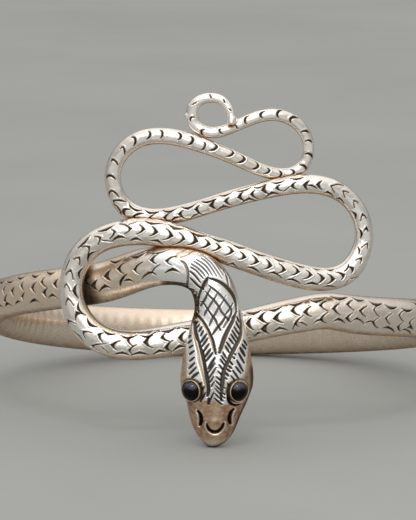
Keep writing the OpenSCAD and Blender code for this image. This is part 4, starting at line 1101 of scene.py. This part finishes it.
def revolved(name, place, looks, profile, segments, material, fields=None):
    """A closed body of revolution about the direction looks. profile is (radius, height) from pole to pole,
    and fields have a value for each of its points."""
    side = unit(np.cross(looks, (0, 0, 1)))
    up = np.cross(side, looks)
    angles = np.linspace(0, 2 * math.pi, segments, endpoint=False)
    spokes = np.cos(angles)[:, None] * side + np.sin(angles)[:, None] * up
    rings = [place + radius * spokes + height * looks for radius, height in profile[1:-1]]
    poles = [place + profile[0][1] * looks, place + profile[-1][1] * looks]
    vertices = np.vstack([*rings, *poles])
    index = np.arange(len(rings) * segments).reshape(-1, segments)
    ahead = np.roll(index, -1, 1)
    faces = np.stack([index[:-1], index[1:], ahead[1:], ahead[:-1]], axis=2).reshape(-1, 4).tolist()
    first, last = index.size, index.size + 1
    for k in range(segments):
        faces.append((first, index[0, k], ahead[0, k]))
        faces.append((last, ahead[-1, k], index[-1, k]))
    values = {
        key: np.append(np.repeat(row[1:-1], segments), (row[0], row[-1]))
        for key, row in (fields or {}).items()
    }
    piece = make_object(name, vertices, faces, material, values)
    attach(piece, "root")
    return piece


# Materials


class Nodes:
    """A material's nodes, with short ways to add and join them."""

    def __init__(self, name):
        self.material = bpy.data.materials.new(name)
        self.material.use_nodes = True
        self.tree = self.material.node_tree
        self.shader = self.tree.nodes["Principled BSDF"]

    def add(self, kind, **settings):
        node = self.tree.nodes.new("ShaderNode" + kind)
        for key, value in settings.items():
            setattr(node, key, value)
        return node

    def join(self, output, socket):
        self.tree.links.new(output, socket)

    def attribute(self, name):
        return self.add("Attribute", attribute_name=name).outputs["Fac"]

    def noise(self, scale, detail, roughness):
        """Noise by place on the object. scale is in features to the metre."""
        node = self.add("TexNoise")
        self.join(self.add("TexCoord").outputs["Object"], node.inputs["Vector"])
        for key, number in (("Scale", scale), ("Detail", detail), ("Roughness", roughness)):
            node.inputs[key].default_value = number
        return node.outputs["Fac"]

    def spread(self, value, low, high, to_low, to_high):
        node = self.add("MapRange")
        self.join(value, node.inputs["Value"])
        for key, number in (("From Min", low), ("From Max", high), ("To Min", to_low), ("To Max", to_high)):
            node.inputs[key].default_value = number
        return node.outputs["Result"]

    def patches(self, noise, ramp):
        """Noise by place, spread over a ramp as (low, high, to low, to high)."""
        return self.spread(self.noise(*noise), *ramp)

    def math(self, operation, a, b):
        node = self.add("Math", operation=operation)
        for socket, value in zip(node.inputs, (a, b)):
            if isinstance(value, (int, float)):
                socket.default_value = value
            else:
                self.join(value, socket)
        return node.outputs["Value"]

    def blend(self, factor, a, b):
        """Mix of two colours. Each is a tuple or an output."""
        node = self.add("Mix", data_type="RGBA")
        self.join(factor, node.inputs["Factor"])
        for socket, value in ((node.inputs[6], a), (node.inputs[7], b)):
            if isinstance(value, tuple):
                socket.default_value = (*value, 1)
            else:
                self.join(value, socket)
        return node.outputs[2]

    def bump(self, height, strength, distance, before=None):
        node = self.add("Bump")
        node.inputs["Strength"].default_value = strength
        node.inputs["Distance"].default_value = distance
        self.join(height, node.inputs["Height"])
        if before:
            self.join(before, node.inputs["Normal"])
        return node.outputs["Normal"]


BRIGHT_SILVER, DULL_SILVER = (0.935, 0.906, 0.868), (0.80, 0.745, 0.68)
GREY_SILVER, POLISHED_SILVER = (0.66, 0.61, 0.555), (0.99, 0.983, 0.968)
# Tan, brown and the oxide black serve for stains and also for painted shade and warm reflection
TAN_STAIN_AND_SHADE, BROWN_STAIN_AND_SHADE = (0.80, 0.62, 0.45), (0.40, 0.225, 0.135)
OXIDE_AND_SHADE = (0.020, 0.0135, 0.010)
BLACK_STONE, GREY_VEIN, PAINTED_SKY_REFLECTION = (0.002, 0.002, 0.0025), (0.006, 0.006, 0.007), (0.010, 0.016, 0.028)
FLOOR_DARK, FLOOR_PALE = (0.305, 0.313, 0.300), (0.345, 0.353, 0.340)
# Noises as features to the metre, detail and roughness, and ramps as low, high, to low and to high
CLOUDS, GRAIN = ((260, 4, 0.6), (0.35, 0.68, 0, 1)), ((2000, 4, 0.7), (0.42, 0.7, 0, 0.5))
WARM_PATCHES, MOTTLE = ((900, 4, 0.65), (0.35, 0.6, 0.75, 1.1)), ((1700, 4, 0.7), (0.38, 0.6, 0.45, 1.1))
WEAR, STONE_WEAR = ((1400, 4, 0.65), (0.3, 0.7, 0.15, 0.27)), ((3000, 3, 0.6), (0.3, 0.7, 0.04, 0.10))
VEINS, FLOOR_CLOUDS = ((1500, 4, 0.6), (0.45, 0.75, 0, 1)), ((9, 4, 0.55), (0.3, 0.7, 0, 1))
TAN_RAMP, BROWN_RAMP = (0, 0.55, 0, 1), (0.45, 1, 0, 1)
GLOSS_RAMP, SKY_RAMP = (0.15, 0.55, 0.08, 0.75), (0.2, 0.75, 0, 1)
HAMMERED, FINE_GRAIN, FLOOR_GRAIN = (900, 2, 0.5), (5200, 3, 0.6), (2600, 3, 0.6)
# Bumps as strength and distance in metres
HAMMERED_BUMP, GRAIN_BUMP, FLOOR_BUMP = (0.25, 0.00012), (0.06, 0.00003), (0.1, 0.0002)
OXIDE_ROUGHNESS, WARM_ROUGHNESS, FLOOR_ROUGHNESS = 0.7, 0.2, 0.85
STONE_IOR = 1.5


def silver_material():
    """Satin silver, duller and greyer in patches, with its stains from the mesh's polish, warm and oxide,
    which carry painted shade too.
    """
    nodes = Nodes("silver")
    shader = nodes.shader
    shader.inputs["Metallic"].default_value = 1.0
    colour = nodes.blend(nodes.patches(*CLOUDS), BRIGHT_SILVER, DULL_SILVER)
    colour = nodes.blend(nodes.patches(*GRAIN), colour, GREY_SILVER)
    colour = nodes.blend(nodes.attribute("polish"), colour, POLISHED_SILVER)
    warm = nodes.math("MULTIPLY", nodes.attribute("warm"), nodes.patches(*WARM_PATCHES))
    # tan and brown for stains, and for painted shade with a warm reflection
    colour = nodes.blend(nodes.spread(warm, *TAN_RAMP), colour, TAN_STAIN_AND_SHADE)
    brown = nodes.math("MULTIPLY", nodes.spread(warm, *BROWN_RAMP), nodes.patches(*MOTTLE))
    colour = nodes.blend(brown, colour, BROWN_STAIN_AND_SHADE)
    oxide_and_shade = nodes.attribute("oxide_and_shade")
    # black for oxide in the hollows, and for painted shade
    colour = nodes.blend(oxide_and_shade, colour, OXIDE_AND_SHADE)
    nodes.join(colour, shader.inputs["Base Color"])
    worn = nodes.patches(*WEAR)
    rough = nodes.add("MapRange")
    nodes.join(oxide_and_shade, rough.inputs["Value"])
    nodes.join(nodes.math("ADD", worn, nodes.math("MULTIPLY", warm, WARM_ROUGHNESS)), rough.inputs["To Min"])
    rough.inputs["To Max"].default_value = OXIDE_ROUGHNESS
    nodes.join(rough.outputs["Result"], shader.inputs["Roughness"])
    dents = nodes.bump(nodes.noise(*HAMMERED), *HAMMERED_BUMP)
    grain = nodes.bump(nodes.noise(*FINE_GRAIN), *GRAIN_BUMP, dents)
    nodes.join(grain, shader.inputs["Normal"])
    return nodes.material


def eye_material():
    """Black stone with faint veins, and a painted bluish sky reflection on what faces up."""
    nodes = Nodes("eye_stone")
    shader = nodes.shader
    shader.inputs["IOR"].default_value = STONE_IOR
    facing = nodes.add("SeparateXYZ")
    nodes.join(nodes.add("TexCoord").outputs["Normal"], facing.inputs[0])
    up = facing.outputs["Z"]
    nodes.join(nodes.spread(up, *GLOSS_RAMP), shader.inputs["Specular IOR Level"])
    colour = nodes.blend(nodes.patches(*VEINS), BLACK_STONE, GREY_VEIN)
    # painted reflection of the sky: a bluish tint where the stone faces up
    colour = nodes.blend(nodes.spread(up, *SKY_RAMP), colour, PAINTED_SKY_REFLECTION)
    nodes.join(colour, shader.inputs["Base Color"])
    nodes.join(nodes.patches(*STONE_WEAR), shader.inputs["Roughness"])
    return nodes.material


def floor_material():
    nodes = Nodes("floor")
    colour = nodes.blend(nodes.patches(*FLOOR_CLOUDS), FLOOR_DARK, FLOOR_PALE)
    nodes.join(colour, nodes.shader.inputs["Base Color"])
    nodes.shader.inputs["Roughness"].default_value = FLOOR_ROUGHNESS
    nodes.join(nodes.bump(nodes.noise(*FLOOR_GRAIN), *FLOOR_BUMP), nodes.shader.inputs["Normal"])
    return nodes.material


# Building


def columns(front_step, side_step, back_step):
    """Angles round the section: finest where it faces outwards, from 20 to 160 degrees."""
    sides = (-20, 20, side_step), (160, 200, side_step)
    return np.radians(spaced(sides[0], (20, 160, front_step), sides[1], (200, 340, back_step))[:-1])


DOME_START = rod.length - TAIL_DOME
# Name, zones of (start, end, step) along the rod, and the steps in degrees round it
ROD_PIECES = [
    ("head_and_neck", [(0, 27, 0.08), (27, 45, 0.11)], (1.1, 2.2, 12)),
    ("band_left", [(45, 60, 0.1), (60, 126, 0.19)], (1.7, 2.2, 6)),
    ("band_right", [(126, 180, 0.23), (180, 192, 0.15), (192, 226, 0.09)], (1.7, 2.2, 6)),
    ("left_low_fold", [(226, 270, 0.09)], (1.8, 3.0, 14)),
    ("right_low_fold", [(270, 318, 0.09)], (1.8, 3.0, 14)),
    ("tail_folds", [(318, DOME_START, 0.09), (DOME_START, rod.length, 0.04)], (2.6, 4.0, 14)),
]
RIB_PITCH, RIB_DEPTH = 2.0, 0.03
RIBS_START, RIBS_END, RIBS_INWARDS = (52, 60), (205, 196), (0.5, 0.9)


def ribbed(skin):
    """Faint ribs across the inner side of the wrist band."""
    band = (smooth(*RIBS_START, skin.s) * smooth(*RIBS_END, skin.s))[:, None]
    inner = smooth(*RIBS_INWARDS, -np.sin(skin.phi))[None]
    wave = np.sin(2 * math.pi * skin.s / RIB_PITCH)[:, None]
    skin.relief += RIB_DEPTH * wave * band * inner


# Burrs left on the curl as (x, z, radius, height)
BURRS = [(-4.1, 46.2, 0.28, 0.32), (-3.8, 47.7, 0.2, 0.15), (2.9, 45.9, 0.3, 0.12)]


def burrs(skin):
    """Small burrs on the tail's curl, which lies above everything else."""
    for x, z, radius, height in BURRS:
        skin.relief += height * bell(np.hypot(skin.plain[..., 0] - x, skin.plain[..., 2] - z), radius)


# Ramps along the rod, of how much the surface faces down, where painted brown and black shade sets in,
# and of how much it faces outwards
BODY_START, WORN_START, WORN_END, WORN_MORE = (20, 32), (30, 36), (235, 210), (110, 90)
DOWN_BROWN, DOWN_BLACK, UNDER_BROWN, UNDER_BLACK = (0.1, 0.8), (0.2, 0.9), (0.45, 0.92), (0.75, 1)
SIDEWAYS, INWARDS = (0.62, 0.3), (0.25, -0.3)
BAND_MIDDLE, BAND_REACH = 126.0, 80  # along the rod
CREVICE_APART = 12.0  # along the rod, between places that count as different lengths of it
CREVICE_STEP, CREVICE_REACH = 0.8, 9.0  # along the rod, and away from it
FULL_STAIN_WIDTH = 3.5  # of the rod, whose stains are narrower where it is thinner
CREVICE_BROWN, CREVICE_BLACK = (1.3, 0.3), (0.7, 0.1)  # ramps of the gap
# Where the neck goes in behind the left low fold and gets a painted shadow, along the rod, and its side that
# the fold covers
UNDER_FOLD, NECK_END, FOLD_SIDE = (40.2, 43.2), (47.0, 45.0), (-0.1, 0.5)


def stain_and_shade(skin, warm, oxide_and_shade=None):
    skin.warm = np.maximum(skin.warm, warm)
    if oxide_and_shade is not None:
        skin.oxide_and_shade = np.maximum(skin.oxide_and_shade, oxide_and_shade)


def underside_shade_and_band_tint(skin):
    """Faint tan on the sides, warm tints on the band, and painted brown shade where the rod faces down."""
    down, outwards, along = -skin.normals[..., 2], np.sin(skin.phi)[None], skin.s[:, None]
    side = smooth(*SIDEWAYS, outwards) * smooth(*BODY_START, along)
    # painted shade and warm reflection where the sides face down, over a faint tan
    stain_and_shade(skin, (0.08 + 0.5 * smooth(*DOWN_BROWN, down)) * side, 0.16 * smooth(*DOWN_BLACK, down) * side)
    stain_and_shade(skin, 0.4 * smooth(*INWARDS, outwards) * bell(along - BAND_MIDDLE, BAND_REACH))
    worn = 0.2 + 0.2 * smooth(*WORN_MORE, along)
    stain_and_shade(skin, worn * smooth(*WORN_START, along) * smooth(*WORN_END, along))
    # painted shade and warm reflection, brown and black, on all that faces down
    stain_and_shade(skin, 0.95 * smooth(*UNDER_BROWN, down), 0.3 * smooth(*UNDER_BLACK, down))


def crevice_tarnish_and_shade(skin):
    """Tarnish and painted shade where another length lies close, and a painted shadow under the left low
    fold.
    """
    others = np.arange(0, rod.length, CREVICE_STEP)
    centres, *_, values = rod.frame_at(others)
    gap = np.full(skin.relief.shape, CREVICE_REACH)
    for place, centre, thickness in zip(others, centres, values[:, THICKNESS]):
        rows = np.flatnonzero(np.abs(skin.s - place) > CREVICE_APART)
        middle = skin.plain[rows].mean(1)
        rows = rows[np.linalg.norm(middle - centre, axis=1) < CREVICE_REACH]
        if len(rows):
            away = np.linalg.norm(skin.plain[rows] - centre, axis=2)
            gap[rows] = np.minimum(gap[rows], away - thickness / 2)
    gap *= np.maximum(1, FULL_STAIN_WIDTH / rod.frame_at(skin.s)[4][:, WIDTH])[:, None]
    # tarnish and painted shade in the gaps between lengths of the rod
    stain_and_shade(skin, 0.9 * smooth(*CREVICE_BROWN, gap), 0.85 * smooth(*CREVICE_BLACK, gap))
    # painted shadow on the neck's side under the left low fold
    along = (smooth(*UNDER_FOLD, skin.s) * smooth(*NECK_END, skin.s))[:, None]
    under_fold = along * smooth(*FOLD_SIDE, np.sin(skin.phi))[None]
    stain_and_shade(skin, under_fold, 0.9 * under_fold**1.5)


silver, stone = silver_material(), eye_material()
marks = all_marks()
for name, zones, steps in ROD_PIECES:
    skin = Skin(spaced(*zones), columns(*steps))
    for mark in marks:
        skin.press(mark)
    if name == "head_and_neck":
        carve_head(skin)
    ribbed(skin)
    burrs(skin)
    underside_shade_and_band_tint(skin)
    crevice_tarnish_and_shade(skin)
    make_rod_piece(name, skin, silver)

EYE_SEGMENTS, RIM_STEPS, DOME_STEPS = 72, 12, 18
BEZEL_RIM = 0.13  # thickness of the wall where it is pressed in over the stone
BEZEL_SHOULDER = 0.3  # of its rise
STONE_GAP, STONE_BASE_GAP = 0.02, 0.05  # between the stone and its seat
BEZEL_BROWN, RIM_OXIDE, WALL_OXIDE, RIM_TO_WALL = 0.6, 0.12, 0.8, (0.08, 0.2)


def make_bezel(name, side):
    place, looks = eye_place(side)
    inner, outer = EYE_D / 2, EYE_D / 2 + BEZEL_WALL
    half = BEZEL_RIM / 2
    rim = [
        (inner + half + half * math.cos(a), BEZEL_RISE - half + half * math.sin(a))
        for a in np.linspace(0, math.pi, RIM_STEPS)
    ]
    wall = [(0, -BEZEL_ROOT), (outer, -BEZEL_ROOT), (outer, 0), (outer, BEZEL_RISE * BEZEL_SHOULDER)]
    profile = [*wall, *rim, (inner, -SEAT_DEPTH), (0, -SEAT_DEPTH)]
    depth = np.array([BEZEL_RISE - height for _, height in profile])
    oxide_and_shade = RIM_OXIDE + WALL_OXIDE * smooth(*RIM_TO_WALL, depth)
    stains = {"oxide_and_shade": oxide_and_shade, "warm": np.full(len(profile), BEZEL_BROWN)}
    piece = revolved(name, place, looks, profile, EYE_SEGMENTS, silver, stains)
    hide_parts("snake")


def make_eye(name, side):
    place, looks = eye_place(side)
    radius = (EYE_D**2 / 4 + EYE_RISE**2) / (2 * EYE_RISE)
    widest = math.asin(EYE_D / 2 / radius)
    dome = [
        (radius * math.sin(a), EYE_RISE - radius + radius * math.cos(a))
        for a in np.linspace(widest, 0, DOME_STEPS)
    ]
    base, girdle = STONE_BASE_GAP - SEAT_DEPTH, EYE_D / 2 - STONE_GAP
    profile = [(0, base), (girdle, base), (girdle, -STONE_GAP), *dome]
    piece = revolved(name, place, looks, profile, EYE_SEGMENTS, stone)
    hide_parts(name.replace("stone", "eye"))


make_bezel("bezel_left", -1)
make_bezel("bezel_right", 1)
make_eye("stone_left", -1)
make_eye("stone_right", 1)

# Floor, lights and surroundings, in metres

FLOOR_HALF = 3.0
# Name, place, aim, size, radiance as the metal sees it, and colour
LIGHTS = [
    ("front_soft", (-0.1, -0.85, 0.52), (0, 0, 0.05), (1.3, 0.66), 0.85, (1.0, 0.993, 0.982)),
    ("front_card", (0, -0.374, 0.002), (0, -0.374, 1), (0.9, 0.6), 0.26, (1.0, 0.995, 0.985)),
    ("front_window", (0, -1.2, 0.16), (0, 0, 0.03), (0.5, 0.24), 1.6, (1.0, 1.0, 0.99)),
    ("top_key", (-0.06, -0.5, 0.88), (0, -0.03, 0.02), (0.3, 0.16), 6.0, (0.97, 0.985, 1.0)),
]
HORIZON_LIGHT, ZENITH_LIGHT, FRONT_LIGHT, BACK_LIGHT = 0.38, 1.18, 0.2, -0.22
FRONT_SPREAD, BACK_SPREAD = (-0.95, 0.1), (0.3, 1.0)  # along y
WORLD_COLOUR = (1.0, 0.985, 0.965, 1)


def make_floor():
    corners = np.array([(-1, -1, 0), (1, -1, 0), (1, 1, 0), (-1, 1, 0)], float) * FLOOR_HALF / MM
    floor = make_object("floor", corners, [(0, 1, 2, 3)], floor_material())


def make_light(name, at, aim, size, radiance, colour):
    """A soft rectangular light."""
    data = bpy.data.lights.new(name, "AREA")
    data.shape = "RECTANGLE"
    data.size, data.size_y = size
    data.energy = radiance * math.pi * size[0] * size[1]
    data.color = colour
    light = bpy.data.objects.new(name, data)
    light.location = at
    light.rotation_mode = "QUATERNION"
    light.rotation_quaternion = (Vector(aim) - Vector(at)).to_track_quat("-Z", "Y")
    light.visible_camera = False
    bpy.context.collection.objects.link(light)


def make_world():
    """A soft studio: bright overhead and in front, darker behind and low at the sides."""
    world = bpy.data.worlds.new("world")
    world.use_nodes = True
    tree = world.node_tree

    def add(kind, **settings):
        node = tree.nodes.new("ShaderNode" + kind)
        for key, value in settings.items():
            setattr(node, key, value)
        return node

    def ramp(value, low, high, to_low, to_high):
        node = add("MapRange", interpolation_type="SMOOTHSTEP")
        tree.links.new(value, node.inputs["Value"])
        for key, number in (("From Min", low), ("From Max", high), ("To Min", to_low), ("To Max", to_high)):
            node.inputs[key].default_value = number
        return node.outputs["Result"]

    way = add("SeparateXYZ")
    tree.links.new(add("TexCoord").outputs["Generated"], way.inputs["Vector"])
    total = ramp(way.outputs["Z"], 0.0, 1.0, HORIZON_LIGHT, ZENITH_LIGHT)
    front = ramp(way.outputs["Y"], *FRONT_SPREAD, FRONT_LIGHT, 0.0)
    back = ramp(way.outputs["Y"], *BACK_SPREAD, 0.0, BACK_LIGHT)
    for part in (front, back):
        add_up = add("Math", operation="ADD")
        tree.links.new(total, add_up.inputs[0])
        tree.links.new(part, add_up.inputs[1])
        total = add_up.outputs["Value"]
    background = tree.nodes["Background"]
    background.inputs["Color"].default_value = WORLD_COLOUR
    tree.links.new(total, background.inputs["Strength"])
    bpy.context.scene.world = world


make_floor()
for light in LIGHTS:
    make_light(*light)
make_world()
bpy.context.scene.view_settings.view_transform = "Standard"
bpy.context.scene.view_settings.exposure = 0.0
